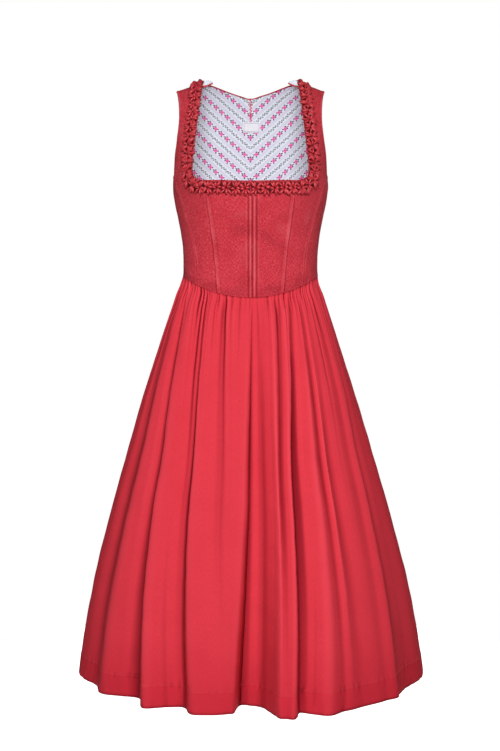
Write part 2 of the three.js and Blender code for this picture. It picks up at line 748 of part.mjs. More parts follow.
// A closed round cord through rings placed beside a run of spots.
function cordGeometry(spots, flip, side, wall) {
  const outer = [];
  spots.forEach((spot, i) => {
    const { normal, across } = frameAlong(spots, i);
    const centre = bodicePoint(...spot)
      .addScaledVector(across, side * (piping.radius + piping.gap))
      .addScaledVector(normal, -wall / 2);
    const ring = [];
    for (let k = 0; k < piping.sides; k += 1) {
      const angle = 2 * Math.PI * k / piping.sides;
      const point = centre.clone()
        .addScaledVector(across, piping.radius * Math.cos(angle))
        .addScaledVector(normal, piping.radius * Math.sin(angle));
      if (flip) point.x = -point.x;
      ring.push(point);
    }
    outer.push(ring);
  });
  return tubeGeometry(outer);
}

function tubeGeometry(rings) {
  const sides = rings[0].length;
  const points = rings.flat();
  const indices = [];
  for (let r = 0; r < rings.length - 1; r += 1) {
    for (let k = 0; k < sides; k += 1) {
      const a = r * sides + k;
      const b = r * sides + (k + 1) % sides;
      indices.push(a, b, b + sides, a, b + sides, a + sides);
    }
  }
  const end = (rings.length - 1) * sides;
  for (let k = 1; k < sides - 1; k += 1) {
    indices.push(0, k + 1, k, end, end + k, end + k + 1);
  }
  const geometry = new THREE.BufferGeometry().setFromPoints(points);
  geometry.setIndex(indices);
  return outwards(mergeVertices(geometry, weldDistance));
}

function necklinePieces() {
  return [
    piece('trim_left', trimGeometry(false), redCloth),
    piece('trim_right', trimGeometry(true), redCloth),
    piece('neck_piping_left', cordGeometry(frontNeckSpots(), false, -1, frontWall), redCord),
    piece('neck_piping_right', cordGeometry(frontNeckSpots(), true, -1, frontWall), redCord),
    piece('neck_piping_back', cordGeometry(backNeckSpots(), false, 1, backWall), redCord),
  ];
}

// ---- Skirt ----

function skirtHalf(height) {
  const last = skirtLevels.length - 1;
  const heightAt = (place) => readTable(skirtLevels, 'height', place);
  return readTable(skirtLevels, 'half', placeOfHeight(heightAt, last, height));
}

// The smooth outline that the folds stand out from: a rounded oval, at one height and turn.
function skirtReach(turn, height, down) {
  const half = skirtHalf(height);
  const grown = (half - skirtWaist.half) / (skirtHem.half - skirtWaist.half);
  const forward = Math.cos(THREE.MathUtils.degToRad(turn));
  const end = forward > 0 ? 'front' : 'back';
  const depth = skirtWaist[end] + (skirtHem[end] - skirtWaist[end]) * grown;
  const { waist, below, until } = skirtSquare;
  const square = waist + (below - waist) * Math.min(down / until, 1);
  const sine = Math.abs(Math.sin(THREE.MathUtils.degToRad(turn)));
  return ((sine / half) ** square + (Math.abs(forward) / depth) ** square) ** (-1 / square);
}

// A value that is given at the waist, half way down and at the hem.
function downCurve([top, middle, low], down) {
  const early = top + (middle - top) * (1 - (1 - Math.min(down * 2, 1)) ** foldGrowth);
  return down <= 0.5 ? early : middle + (low - middle) * (down - 0.5) * 2;
}

function foldPoint(fold, down) {
  const turn = downCurve(fold.turns, down);
  const seam = waistTowards(turn);
  const foot = seam.z - waistGap;
  const height = foot + (hemHeight - foot) * down;
  const reach = down === 0 ? Math.hypot(seam.x, seam.y)
    : skirtReach(turn, height, down) + downCurve(fold.stands, down);
  const angle = THREE.MathUtils.degToRad(turn);
  return new THREE.Vector3(reach * Math.sin(angle), -reach * Math.cos(angle), height);
}

// The point of the waist seam that lies in one direction from the centre line.
function waistTowards(direction) {
  const aim = THREE.MathUtils.degToRad(direction);
  let turn = direction;
  for (let step = 0; step < aimSteps; step += 1) {
    const point = bodicePoint(...waistSpot(turn));
    const off = aim - Math.atan2(point.x, -point.y);
    turn += THREE.MathUtils.radToDeg(Math.atan2(Math.sin(off), Math.cos(off)));
  }
  return bodicePoint(...waistSpot(turn));
}

// All columns round the skirt: each fold row, and as many between two as the hem's width asks.
function skirtColumns() {
  const count = skirtFolds.length;
  const columns = [];
  skirtFolds.forEach((fold, i) => {
    const next = foldPoint(skirtFolds[(i + 1) % count], 1);
    const width = foldPoint(fold, 1).distanceTo(next);
    const parts = Math.max(1, Math.ceil(width / columnWidth));
    for (let k = 0; k < parts; k += 1) columns.push({ fold: i, share: k / parts });
  });
  return columns;
}

function skirtGrid(columns) {
  const count = skirtFolds.length;
  return skirtRows.map((down) => {
    const keys = skirtFolds.map((fold) => foldPoint(fold, down));
    return columns.map(({ fold, share }) => {
      const near = (k) => keys[(fold + k + count) % count];
      const part = (axis) => smoothStep4(near(-1)[axis], near(0)[axis], near(1)[axis],
        near(2)[axis], share);
      const flatPart = (axis) => near(0)[axis] + (near(1)[axis] - near(0)[axis]) * share;
      return new THREE.Vector3(part('x'), part('y'), flatPart('z'));
    });
  });
}

function skirtNormals(grid) {
  const rows = grid.length;
  const count = grid[0].length;
  return grid.map((row, r) => row.map((point, c) => {
    const along = row[(c + 1) % count].clone().sub(row[(c + count - 1) % count]);
    const above = grid[Math.max(r - 1, 0)][c];
    const below = grid[Math.min(r + 1, rows - 1)][c];
    return along.cross(above.clone().sub(below)).normalize();
  }));
}

function skirtPanels() {
  const columns = skirtColumns();
  const grid = skirtGrid(columns);
  const normals = skirtNormals(grid);
  const seamAt = (name) => columns.findIndex(
    (column) => column.share === 0 && skirtFolds[column.fold].name === name);
  const seams = {
    right: seamAt('right side seam'),
    front: seamAt('centre front seam'),
    left: seamAt('left side seam'),
    back: seamAt('centre back seam'),
  };
  const panels = [
    { name: 'skirt_front_right', from: seams.right, to: seams.front },
    { name: 'skirt_front_left', from: seams.front, to: seams.left },
    { name: 'skirt_back_left', from: seams.left, to: seams.back },
    { name: 'skirt_back_right', from: seams.back, to: seams.right + columns.length },
  ];
  return panels.map(({ name, from, to }) => {
    const outer = [];
    const inner = [];
    grid.forEach((row, r) => {
      const outerRow = [];
      const innerRow = [];
      for (let c = from; c <= to; c += 1) {
        const here = c % columns.length;
        const point = row[here].clone();
        const beside = c === from ? row[(c + 1) % columns.length] : row[(c - 1) % columns.length];
        const atSeam = c === from || c === to;
        if (atSeam) point.addScaledVector(beside.clone().sub(point).normalize(), seamGap / 2);
        outerRow.push(point);
        innerRow.push(point.clone().addScaledVector(normals[r][here], -skirtWall));
      }
      outer.push(outerRow);
      inner.push(innerRow);
    });
    return piece(name, wallGeometry(outer, inner), redSkirt);
  });
}

const dirndl = new THREE.Group();
dirndl.add(...bodicePieces(), labelPiece(), ...necklinePieces(), ...skirtPanels());

export default dirndl;
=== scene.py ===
import math

import bmesh
import bpy
import numpy as np
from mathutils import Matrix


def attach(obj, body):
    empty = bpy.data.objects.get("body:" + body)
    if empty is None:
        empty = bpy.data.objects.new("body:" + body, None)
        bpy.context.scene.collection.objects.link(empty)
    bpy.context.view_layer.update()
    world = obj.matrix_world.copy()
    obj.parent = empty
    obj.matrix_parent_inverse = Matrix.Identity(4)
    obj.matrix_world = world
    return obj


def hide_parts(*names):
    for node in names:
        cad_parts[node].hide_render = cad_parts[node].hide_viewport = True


# A sleeveless red dirndl that keeps its worn, hollow form with no wearer in it.
# Tables and cloth sizes are in millimetres, as a pattern is drawn, and turn into metres (times mm)
# where a mesh is made. Sizes in the materials and in the node trees are in metres.
# turn: degrees round the body, 0 centre front, 90 wearer's left side, 180 centre back.
# level: place in the table of bodice rows, 0 at the shoulder line and growing downwards.

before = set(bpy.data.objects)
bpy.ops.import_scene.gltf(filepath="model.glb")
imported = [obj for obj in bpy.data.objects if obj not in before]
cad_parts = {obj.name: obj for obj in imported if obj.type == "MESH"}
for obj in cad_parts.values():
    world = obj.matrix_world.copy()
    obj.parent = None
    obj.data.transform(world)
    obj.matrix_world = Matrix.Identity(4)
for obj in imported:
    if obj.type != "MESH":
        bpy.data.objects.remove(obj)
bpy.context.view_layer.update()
mm = 0.001
bothSides = (("left", 1), ("right", -1))        # the wearer's left is +x
white = (1, 1, 1, 1)


def colourOf(red, green, blue):
    # the linear colour of an 8-bit screen colour
    parts = [c / 255 for c in (red, green, blue)]
    return [c / 12.92 if c <= 0.04045 else ((c + 0.055) / 1.055) ** 2.4 for c in parts] + [1.0]


def addObject(name, data):
    made = bpy.data.objects.new(name, data)
    bpy.context.scene.collection.objects.link(made)
    return made


def turnTowards(place, aim):
    # the turn of a camera or lamp at place that looks at aim
    dx, dy, dz = (a - p for a, p in zip(aim, place))
    return math.atan2(math.hypot(dx, dy), -dz), 0, math.atan2(-dx, dy)


# Camera

view = {
    "place": (-0.001, -2.6, -0.465),
    "aim": (-0.001, 0.0, -0.590),
    "lens": 60.87,
}


def makeCamera():
    data = bpy.data.cameras.new("camera")
    data.lens = view["lens"]
    data.sensor_width = 36
    data.sensor_fit = "AUTO"
    camera = addObject("camera", data)
    camera.location = view["place"]
    camera.rotation_euler = turnTowards(view["place"], view["aim"])
    bpy.context.scene.camera = camera


makeCamera()
print("camera placed")

# Numbers along tables


def through(a, b, c, d, t):
    # a smooth curve through four values, t from 0 at the second to 1 at the third
    return 0.5 * (2 * b + (c - a) * t + (2 * a - 5 * b + 4 * c - d) * t * t
                  + (3 * b - a - 3 * c + d) * t ** 3)


def readColumn(values, place, mirror=1.0):
    # mirror is -1 for a column that changes sign before its first row
    values = np.asarray(values, float)
    last = len(values) - 1
    place = np.asarray(place, float)
    i = np.clip(np.floor(place).astype(int), 0, last - 1)

    def value(k):
        return np.where(k < 0, mirror, 1.0) * values[np.clip(np.abs(k), 0, last)]

    return through(value(i - 1), value(i), value(i + 1), value(i + 2), place - i)


def smoothRise(share):
    share = np.clip(share, 0, 1)
    return share * share * (3 - 2 * share)


def unit(vectors):
    return vectors / np.linalg.norm(vectors, axis=-1, keepdims=True)


def smoothThrough(where, values, slopes, at):
    # a smooth line through values at the places where, with a slope given for each
    i = np.clip(np.searchsorted(where, at, side="right") - 1, 0, len(where) - 2)
    step = where[i + 1] - where[i]
    t = (at - where[i]) / step
    return ((2 * t ** 3 - 3 * t ** 2 + 1) * values[i] + (t ** 3 - 2 * t ** 2 + t) * step * slopes[i]
            + (3 * t ** 2 - 2 * t ** 3) * values[i + 1] + (t ** 3 - t ** 2) * step * slopes[i + 1])


def alongTable(points, column, at):
    # a smooth line through table points whose last entry says where along the edge they lie
    table = np.array(points, float)
    where, values = table[:, -1], table[:, column]
    at = np.clip(np.asarray(at, float), where[0], where[-1])
    return smoothThrough(where, values, np.gradient(values, where), at)


def lengths(points, axis):
    # distance from the first point of each row (axis 1) or column (axis 0), over the surface
    steps = np.linalg.norm(np.diff(points, axis=axis), axis=2)
    pad = [(0, 0), (0, 0)]
    pad[axis] = (1, 0)
    return np.pad(np.cumsum(steps, axis=axis), pad)


def waver(along, across, seed, size):
    # soft unevenness of about 1, from a few sine waves of the given length
    draw = np.random.default_rng(seed)
    total = 0.0
    for _ in range(5):
        angle, phase = draw.uniform(0, 2 * math.pi, 2)
        pitch = size * draw.uniform(0.6, 1.7)
        total = total + np.sin((along * math.cos(angle) + across * math.sin(angle)) * 2 * math.pi / pitch
                               + phase)
    return total / 2.2


# The bodice's surface

body = {
    # height, half width, depth to the front, depth to the back, squareness (2 is an ellipse)
    "levels": [
        (0, 156, 0.3, 0.3, 2.6), (-4, 156, 15, 17, 2.6), (-14, 156, 31, 36, 2.6),
        (-32, 156, 49, 58, 2.6), (-62, 156, 70, 80, 2.6), (-100, 156, 92, 93, 2.6),
        (-145, 156, 110, 98, 2.5), (-184, 156.5, 122, 98, 2.45), (-215, 157, 128, 95, 2.4),
        (-250, 151.5, 123, 89, 2.4), (-300, 141.5, 110, 82, 2.4), (-345, 136.8, 101, 79, 2.4),
        (-385, 137.4, 100, 82, 2.4), (-420, 146, 104, 88, 2.4), (-460, 158, 112, 98, 2.4),
    ],
    "bust": {"x": 76, "z": -222, "wide": 44, "tall": 52, "fullness": 10},
    "shoulderNeck": 97,
    "shoulderOuter": 151,
    "shoulderSlope": 0.34,
    "slopeCentre": 110,
    "slopeFade": 120,
    "waistSide": -388,
    "waistDip": 44,
    "waistPower": 2.05,
}
levelHeights, levelHalves, levelFronts, levelBacks, levelSquares = np.array(body["levels"]).T
lastLevel = len(levelHeights) - 1
finePlaces = np.linspace(0, lastLevel, 1200)
offMiddle = 0.01            # as near as a spot on the back comes to the middle line
fineHeights = readColumn(levelHeights, finePlaces)


def levelOfHeight(height):
    return np.interp(-np.asarray(height, float), -fineHeights, finePlaces)


def shoulderRise(x):
    return body["shoulderSlope"] * (body["slopeCentre"] - np.abs(x))


def slopeShare(height):
    return smoothRise(1 + height / body["slopeFade"])


def bodicePoint(spots):
    turn, level = spots[..., 0], spots[..., 1]
    angle = np.radians(turn)
    sine, cosine = np.sin(angle), np.cos(angle)
    height = readColumn(levelHeights, level)
    square = readColumn(levelSquares, level)
    depth = np.where(cosine > 0, readColumn(levelFronts, level, -1.0), readColumn(levelBacks, level, -1.0))
    x = readColumn(levelHalves, level) * sine
    y = -depth * np.sign(cosine) * np.maximum(1 - np.abs(sine) ** square, 0) ** (1 / square)
    bust = body["bust"]
    swell = np.exp(-((np.abs(x) - bust["x"]) / bust["wide"]) ** 2
                   - ((height - bust["z"]) / bust["tall"]) ** 2)
    y = y - np.where(cosine > 0, bust["fullness"] * swell, 0)
    return np.stack([x, y, height + shoulderRise(x) * slopeShare(height)], axis=-1)


def bodiceNormal(spots):
    stepTurn, stepLevel = np.array([0.4, 0]), np.array([0, 0.02])
    up, down = spots - stepLevel, spots + stepLevel
    up = np.stack([up[..., 0], np.maximum(up[..., 1], 0)], axis=-1)
    down = np.stack([down[..., 0], np.minimum(down[..., 1], lastLevel)], axis=-1)
    side = bodicePoint(spots + stepTurn) - bodicePoint(spots - stepTurn)
    return unit(np.cross(side, bodicePoint(up) - bodicePoint(down)))


def spotAtLevel(x, level, onBack):
    sine = np.clip(np.abs(x) / readColumn(levelHalves, level), 0, 1)
    turn = np.degrees(np.arcsin(sine)) * np.sign(x)
    return np.stack([180 - turn if onBack else turn, level], axis=-1)


def bodiceSpot(x, z, onBack):
    # the spot at x and z on the front or on the back
    x, z = np.broadcast_arrays(np.asarray(x, float), np.asarray(z, float))
    low, high = np.zeros(x.shape), np.full(x.shape, float(lastLevel))
    for _ in range(36):
        middle = (low + high) / 2
        height = readColumn(levelHeights, middle)
        above = height + shoulderRise(x) * slopeShare(height) > z
        low, high = np.where(above, middle, low), np.where(above, high, middle)
    return spotAtLevel(x, (low + high) / 2, onBack)


def walkOver(spots, direction, distance):
    # walks over the surface in a direction given in space, and returns the spots reached
    steps = max(1, math.ceil(np.abs(distance).max() / 3))
    spots = np.array(spots, float)
    for _ in range(steps):
        here = bodicePoint(spots)
        byTurn = (bodicePoint(spots + [0.1, 0]) - here) * 10
        byLevel = (bodicePoint(spots + [0, 0.01]) - here) * 100
        go = direction * (distance / steps)
        tt, tl, ll = (np.sum(a * b, axis=-1) for a, b in
                      ((byTurn, byTurn), (byTurn, byLevel), (byLevel, byLevel)))
        gt, gl = np.sum(go * byTurn, axis=-1), np.sum(go * byLevel, axis=-1)
        size = tt * ll - tl * tl
        spots = spots + np.stack([(gt * ll - gl * tl) / size, (gl * tt - gt * tl) / size], axis=-1)
        spots[..., 1] = np.maximum(spots[..., 1], 0)
    return spots


def waistHeight(turn):
    forward = np.maximum(np.cos(np.radians(turn)), 0)
    return body["waistSide"] - body["waistDip"] * forward ** body["waistPower"]


def waistSpot(turn):
    turn = np.asarray(turn, float)
    return np.stack([turn, levelOfHeight(waistHeight(turn))], axis=-1)


# Edges and seams of the left half, from the waist up: x, z, and how far along the edge they lie

edges = {
    "princess": [(67, -427, 0), (73, -350, 0.175), (84, -262, 0.375), (91, -207, 0.5)],
    "frontNeck": [(91, -207, 0.5), (103, -204, 0.56), (113, -196, 0.62), (116.5, -181, 0.68),
                  (113, -135, 0.75), (106.5, -75, 0.83), (103, -40, 0.88), (100, -14, 0.92),
                  (98.5, -1.5, 0.96), (97, 4.4, 1)],
    "sideFront": [(107, -413, 0), (109, -350, 0.14), (132, -255, 0.35), (146.5, -208, 0.45),
                  (153.5, -184, 0.5)],
    "frontArmhole": [(153.5, -184, 0.5), (152, -150, 0.6), (148, -118, 0.75), (143.8, -80, 0.83),
                     (144, -50, 0.88), (146.5, -30, 0.92), (149.5, -18, 0.96), (151, -14, 1)],
    "sideBack": [(114, -401, 0), (117, -340, 0.25), (135, -250, 0.65), (147, -178, 1)],
    "back": [(58, -400, 0), (64, -330, 0.15), (82, -245, 0.32), (110, -170, 0.48), (139, -118, 0.6)],
    "backArmhole": [(139, -118, 0.6), (139.5, -84, 0.7), (142, -50, 0.8), (146, -30, 0.87),
                    (149.5, -18, 0.94), (151, -14, 1)],
    "lowBackArmhole": [(139, -118, 0), (141.5, -146, 0.5), (147, -178, 1)],
    "liningArmhole": [(155, -189, 0.45), (146.5, -176, 0.49), (141, -146, 0.56), (138.5, -118, 0.62),
                      (139, -84, 0.7), (141.5, -50, 0.8), (145.5, -30, 0.87), (149, -18, 0.94),
                      (150.5, -14, 1)],
    "backNeck": [(0, 43.5), (22, 36.5), (44, 27), (66, 15.5), (80, 8), (91, 3.5), (97, 0)],   # x, fall
    "frontNeckCentre": -209,
    "frontNeckCorner": (91, 2),
    "underarm": -189,
    "liningSide": (93, 0.45),
    "waistShare": 0.15,
    "shoulderShare": 0.06,
}


def edgeLine(name, onBack=False):
    points = edges[name]
    return lambda at: bodiceSpot(alongTable(points, 0, at), alongTable(points, 1, at), onBack)


def joined(lower, upper, split):
    return lambda at: np.where(np.asarray(at)[..., None] <= split, lower(at), upper(at))


def fromWaist(line):
    start = line(np.array(0.0))
    move = waistSpot(start[0])[1] - start[1]

    def moved(at):
        spots = line(at)
        spots[..., 1] += move * np.maximum(1 - np.asarray(at) / edges["waistShare"], 0)
        return spots

    return moved


def endAtShoulder(line):
    def moved(at):
        spots = line(at)
        spots[..., 1] *= 1 - np.maximum(1 - (1 - np.asarray(at)) / edges["shoulderShare"], 0)
        return spots

    return moved


def waistLine(start, end):
    return lambda u: waistSpot(start + (end - start) * np.asarray(u))


def backNeckSpot(x):
    # x goes below 0 on the wearer's right
    reaches, falls = np.array(edges["backNeck"], float).T
    slopes = np.gradient(falls, reaches)
    slopes[0] = 0
    reach = np.maximum(np.abs(x), offMiddle)
    fall = smoothThrough(reaches, falls, slopes, np.minimum(reach, body["shoulderNeck"]))
    fall = np.where(np.abs(x) >= body["shoulderNeck"], 0, np.maximum(fall, 0))
    spots = spotAtLevel(reach, levelOfHeight(-fall), True)
    spots[..., 0] = np.where(np.asarray(x) < 0, 360 - spots[..., 0], spots[..., 0])
    return spots


def neckFootSpot(u):
    x, rise = edges["frontNeckCorner"]
    return bodiceSpot(x * u, edges["frontNeckCentre"] + rise * u, False)


# Meshes


def setUv(mesh, uv):
    # uv has a row for each point, or for each outer point, and the inner ones follow in the same order
    corners = np.zeros(len(mesh.loops), int)
    mesh.loops.foreach_get("vertex_index", corners)
    places = np.asarray(uv)[corners % len(uv)] * mm
    mesh.uv_layers["cloth"].data.foreach_set("uv", places.astype(np.float32).ravel())


def newMesh(name, points, faces, uv=None, smooth=True):
    mesh = bpy.data.meshes.new(name)
    mesh.from_pydata((np.asarray(points) * mm).tolist(), [], faces)
    if uv is not None:
        mesh.uv_layers.new(name="cloth")
        setUv(mesh, uv)
    mesh.polygons.foreach_set("use_smooth", [smooth] * len(mesh.polygons))
    return addObject(name, mesh)


def clothWall(name, outer, inner, uv, hollow=None):
    # one closed wall of cloth from an outer and an inner grid of points;
    # hollow gives the material painted shade (above 0) or a painted highlight (below 0) at each point,
    # mostly from how deep it lies in a crease or how high it stands on a ridge
    rows, columns = outer.shape[:2]
    size = rows * columns
    index = np.arange(size).reshape(rows, columns)
    a, b, c, d = index[:-1, :-1], index[:-1, 1:], index[1:, 1:], index[1:, :-1]
    outside = np.stack([a, b, c, d], axis=-1).reshape(-1, 4)
    inside = outside[:, ::-1] + size

    def rim(line):
        return np.stack([line[1:], line[:-1], line[:-1] + size, line[1:] + size], axis=-1)

    rims = [rim(index[0]), rim(index[-1, ::-1]), rim(index[::-1, 0]), rim(index[:, -1])]
    faces = np.concatenate([outside, inside, *rims])
    points = np.concatenate([outer.reshape(-1, 3), inner.reshape(-1, 3)])
    middle = points[faces].mean(axis=1)
    across = np.cross(points[faces[:, 2]] - points[faces[:, 0]], points[faces[:, 3]] - points[faces[:, 1]])
    if (middle * across).sum() < 0:
        faces = faces[:, ::-1]
    flat = np.concatenate([uv.reshape(-1, 2), uv.reshape(-1, 2)])
    made = newMesh(name, points, faces.tolist(), flat)
    depth = np.zeros(2 * size, np.float32)
    if hollow is not None:
        depth[:size] = hollow.ravel()
    made.data.attributes.new("hollow", "FLOAT", "POINT").data.foreach_set("value", depth)
    return made


def dress(piece, material, slot, *nodes):
    # the finished piece gets its material and its place on the body, and the CAD parts it stands for are
    # hidden
    piece.data.materials.clear()
    piece.data.materials.append(material)
    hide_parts(*nodes)
    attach(piece, "root")
    return piece


# Node trees


def addNode(tree, kind, inputs=None, **settings):
    # inputs go by name or number, and each is a value or another node's output
    node = tree.nodes.new(kind)
    for name, value in settings.items():
        setattr(node, name, value)
    for name, value in (inputs or {}).items():
        socket = node.inputs[name]
        if isinstance(value, bpy.types.NodeSocket):
            tree.links.new(value, socket)
        else:
            socket.default_value = value
    return node


def sums(tree, operation, *values):
    # one Math node
    return addNode(tree, "ShaderNodeMath", dict(enumerate(values)), operation=operation).outputs[0]


def arithmetic(tree):
    # short calls for sum, difference and product
    def kind(operation):
        return lambda a, b: sums(tree, operation, a, b)

    return kind("ADD"), kind("SUBTRACT"), kind("MULTIPLY")


def remap(tree, value, fromLow, fromHigh, toLow=0.0, toHigh=1.0, soft=True):
    node = addNode(tree, "ShaderNodeMapRange", {
        "Value": value, "From Min": fromLow, "From Max": fromHigh, "To Min": toLow, "To Max": toHigh,
    }, interpolation_type="SMOOTHSTEP" if soft else "LINEAR", clamp=True)
    return node.outputs[0]


def blendColour(tree, factor, first, second):
    node = addNode(tree, "ShaderNodeMix", {0: factor, 6: first, 7: second}, data_type="RGBA")
    return node.outputs[2]


def newMaterial(name, roughness, sheen=0.0, sheenTint=white, specular=0.3):
    material = bpy.data.materials.new(name)
    material.use_nodes = True
    tree = material.node_tree
    shader = tree.nodes["Principled BSDF"]
    shader.inputs["Roughness"].default_value = roughness
    shader.inputs["Specular IOR Level"].default_value = specular
    shader.inputs["Sheen Weight"].default_value = sheen
    shader.inputs["Sheen Roughness"].default_value = 0.45
    shader.inputs["Sheen Tint"].default_value = sheenTint
    return material, tree, shader


def flatPlace(tree):
    # the two ways over the cloth in metres, from its UV map
    uv = addNode(tree, "ShaderNodeUVMap", uv_map="cloth").outputs[0]
    split = addNode(tree, "ShaderNodeSeparateXYZ", {0: uv})
    return uv, split.outputs[0], split.outputs[1]


def noise(tree, vector, scale, detail=2.0, stretch=(1, 1, 1)):
    mapped = addNode(tree, "ShaderNodeMapping", {"Vector": vector, "Scale": stretch}).outputs[0]
    made = addNode(tree, "ShaderNodeTexNoise", {"Vector": mapped, "Scale": scale, "Detail": detail})
    return made.outputs["Fac"]


def weaveHeight(tree, across, along, pitch):
    # a plain weave: warp and weft threads that pass over each other by turns
    u = sums(tree, "MULTIPLY", across, math.pi / pitch)
    v = sums(tree, "MULTIPLY", along, math.pi / pitch)
    warp = sums(tree, "MULTIPLY", sums(tree, "SINE", u), sums(tree, "COSINE", v))
    weft = sums(tree, "MULTIPLY", sums(tree, "COSINE", u), sums(tree, "SINE", v))
    return sums(tree, "MAXIMUM", sums(tree, "ABSOLUTE", warp), sums(tree, "ABSOLUTE", weft))


def paintShadeAndHighlight(tree, colour, shade, light, deep, high):
    # painted shade, darker where the hollow attribute marks a crease, and a painted highlight, a little
    # lighter on ridges
    depth = addNode(tree, "ShaderNodeAttribute", attribute_name="hollow").outputs["Fac"]
    colour = blendColour(tree, remap(tree, depth, 0.12, 1.0, 0, deep, soft=False), colour, shade)
    return blendColour(tree, remap(tree, depth, -0.12, -1.0, 0, high, soft=False), colour, light)


def bumpOn(tree, shader, height, distance, strength=1.0):
    bump = addNode(tree, "ShaderNodeBump", {"Height": height, "Distance": distance, "Strength": strength})
    tree.links.new(bump.outputs[0], shader.inputs["Normal"])


bodiceCloth = {
    "colour": colourOf(210, 49, 64),
    # the slubs' lighter colour, also the painted highlight on ridges
    "fleckAndHighlight": colourOf(246, 128, 138),
    "shade": colourOf(166, 24, 38),
    # painted shade for creases and for the strip above the waist seam
    "crease": colourOf(112, 10, 22),
    "thread": 0.0011,
    "slubs": 560,           # slubs and clouds: the scale of each noise, higher is finer
    "clouds": 30,
}


def makeBodiceCloth():
    # coarse woven linen with lighter slubs along both threads
    material, tree, shader = newMaterial("bodiceLinen", 0.88, 0.04, colourOf(240, 150, 155), 0.2)
    uv, u, v = flatPlace(tree)
    height = weaveHeight(tree, u, v, bodiceCloth["thread"])
    weft = noise(tree, uv, bodiceCloth["slubs"], 4, (0.35, 2.2, 1))
    warp = noise(tree, uv, bodiceCloth["slubs"], 4, (2.0, 0.4, 1))
    slub = sums(tree, "MAXIMUM", weft, warp)
    cloud = noise(tree, uv, bodiceCloth["clouds"], 3)
    colour = blendColour(tree, remap(tree, slub, 0.50, 0.76, 0, 0.62), bodiceCloth["colour"],
                         bodiceCloth["fleckAndHighlight"])
    low = sums(tree, "MINIMUM", weft, warp)
    colour = blendColour(tree, remap(tree, low, 0.50, 0.30, 0, 0.8), colour, bodiceCloth["shade"])
    colour = blendColour(tree, remap(tree, cloud, 0.35, 0.7, 0, 0.22), colour, bodiceCloth["shade"])
    # painted shade in creases and above the waist seam, painted highlight on ridges
    colour = paintShadeAndHighlight(tree, colour, bodiceCloth["crease"], bodiceCloth["fleckAndHighlight"], 0.62, 0.4)
    tree.links.new(colour, shader.inputs["Base Color"])
    bumpOn(tree, shader, sums(tree, "ADD", height, sums(tree, "MULTIPLY", slub, 1.6)), 0.0003, 0.9)
    return material


skirtCloth = {
    "colour": colourOf(219, 58, 71),
    "deep": colourOf(205, 49, 62),
    # the hem band's colour, also used for the painted shade towards the hem
    "band": colourOf(198, 40, 55),
    # painted shade in creases
    "crease": colourOf(112, 6, 20),
    # painted highlight on ridges
    "ridge": colourOf(244, 82, 96),
    "thread": 0.0005,
    "threads": 500,         # threads and clouds: the scale of each noise, higher is finer
    "clouds": 14,
    "hem": 0.040,
    "hemBlur": 0.002,
}


def makeSkirtCloth():
    # fine smooth cotton; the hem band, two layers deep, is painted a little darker, and above it the cloth is
    # painted darker towards the hem as painted shade
    material, tree, shader = newMaterial("skirtCotton", 0.8, 0.0, white, 0.04)
    uv, u, v = flatPlace(tree)
    height = weaveHeight(tree, u, v, skirtCloth["thread"])
    threads = noise(tree, uv, skirtCloth["threads"], 2, (1.6, 0.3, 1))
    cloud = noise(tree, uv, skirtCloth["clouds"], 3)
    colour = blendColour(tree, remap(tree, threads, 0.4, 0.7, 0, 0.5), skirtCloth["colour"],
                         skirtCloth["deep"])
    colour = blendColour(tree, remap(tree, cloud, 0.4, 0.7, 0, 0.25), colour, skirtCloth["deep"])
    hem, blur = skirtCloth["hem"], skirtCloth["hemBlur"]
    band = remap(tree, v, hem + blur, hem - blur, 0, 0.55)
    colour = blendColour(tree, band, colour, skirtCloth["band"])
    # painted shade: darker towards the hem, from 160 mm above it down to 20 mm
    near = remap(tree, v, hem * 4, hem / 2, 0, 0.45)
    colour = blendColour(tree, near, colour, skirtCloth["band"])
    # painted shade in creases and painted highlight on ridges, from the hollow attribute
    colour = paintShadeAndHighlight(tree, colour, skirtCloth["crease"], skirtCloth["ridge"], 0.88, 0.4)
    tree.links.new(colour, shader.inputs["Base Color"])
    bumpOn(tree, shader, height, 0.0001, 0.5)
    return material


trimCloth = {
    "colour": colourOf(180, 30, 42),
    "edge": colourOf(204, 48, 60),
    "shade": colourOf(66, 2, 9),
    "light": colourOf(244, 100, 110),
}


def makeTrimCloth():
    material, tree, shader = newMaterial("trimRibbon", 0.45, 0.1, colourOf(255, 150, 155), 0.5)
    place = addNode(tree, "ShaderNodeTexCoord").outputs["Object"]
    threads = noise(tree, place, 900, 2)
    colour = blendColour(tree, remap(tree, threads, 0.35, 0.7), trimCloth["colour"], trimCloth["edge"])
    # painted shade between the folds and a painted highlight on their crests
    colour = paintShadeAndHighlight(tree, colour, trimCloth["shade"], trimCloth["light"], 0.95, 0.45)
    tree.links.new(colour, shader.inputs["Base Color"])
    bumpOn(tree, shader, noise(tree, place, 1400, 1), 0.0002, 0.5)
    return material


def makePlain(name, colour, sheen, specular):
    material, _, shader = newMaterial(name, 0.8, sheen, white, specular)
    shader.inputs["Base Color"].default_value = colour
    return material


def makePipingCloth():
    material, tree, shader = newMaterial("pipingCord", 0.55, 0.2, colourOf(255, 150, 155), 0.35)
    place = addNode(tree, "ShaderNodeTexCoord").outputs["Object"]
    threads = noise(tree, place, 800, 2)
    colour = blendColour(tree, remap(tree, threads, 0.35, 0.7), colourOf(178, 34, 48),
                         colourOf(206, 58, 70))
    tree.links.new(colour, shader.inputs["Base Color"])
    bumpOn(tree, shader, threads, 0.0002, 0.6)
    return material


def makeThread(name, colour):
    material, tree, shader = newMaterial(name, 0.5, 0.2, white, 0.4)
    place = addNode(tree, "ShaderNodeTexCoord").outputs["Object"]
    strands = noise(tree, place, 2500, 1)
    darker = [c * 0.7 for c in colour[:3]] + [1.0]
    tree.links.new(blendColour(tree, remap(tree, strands, 0.35, 0.65), darker, colour),
                   shader.inputs["Base Color"])
    return material


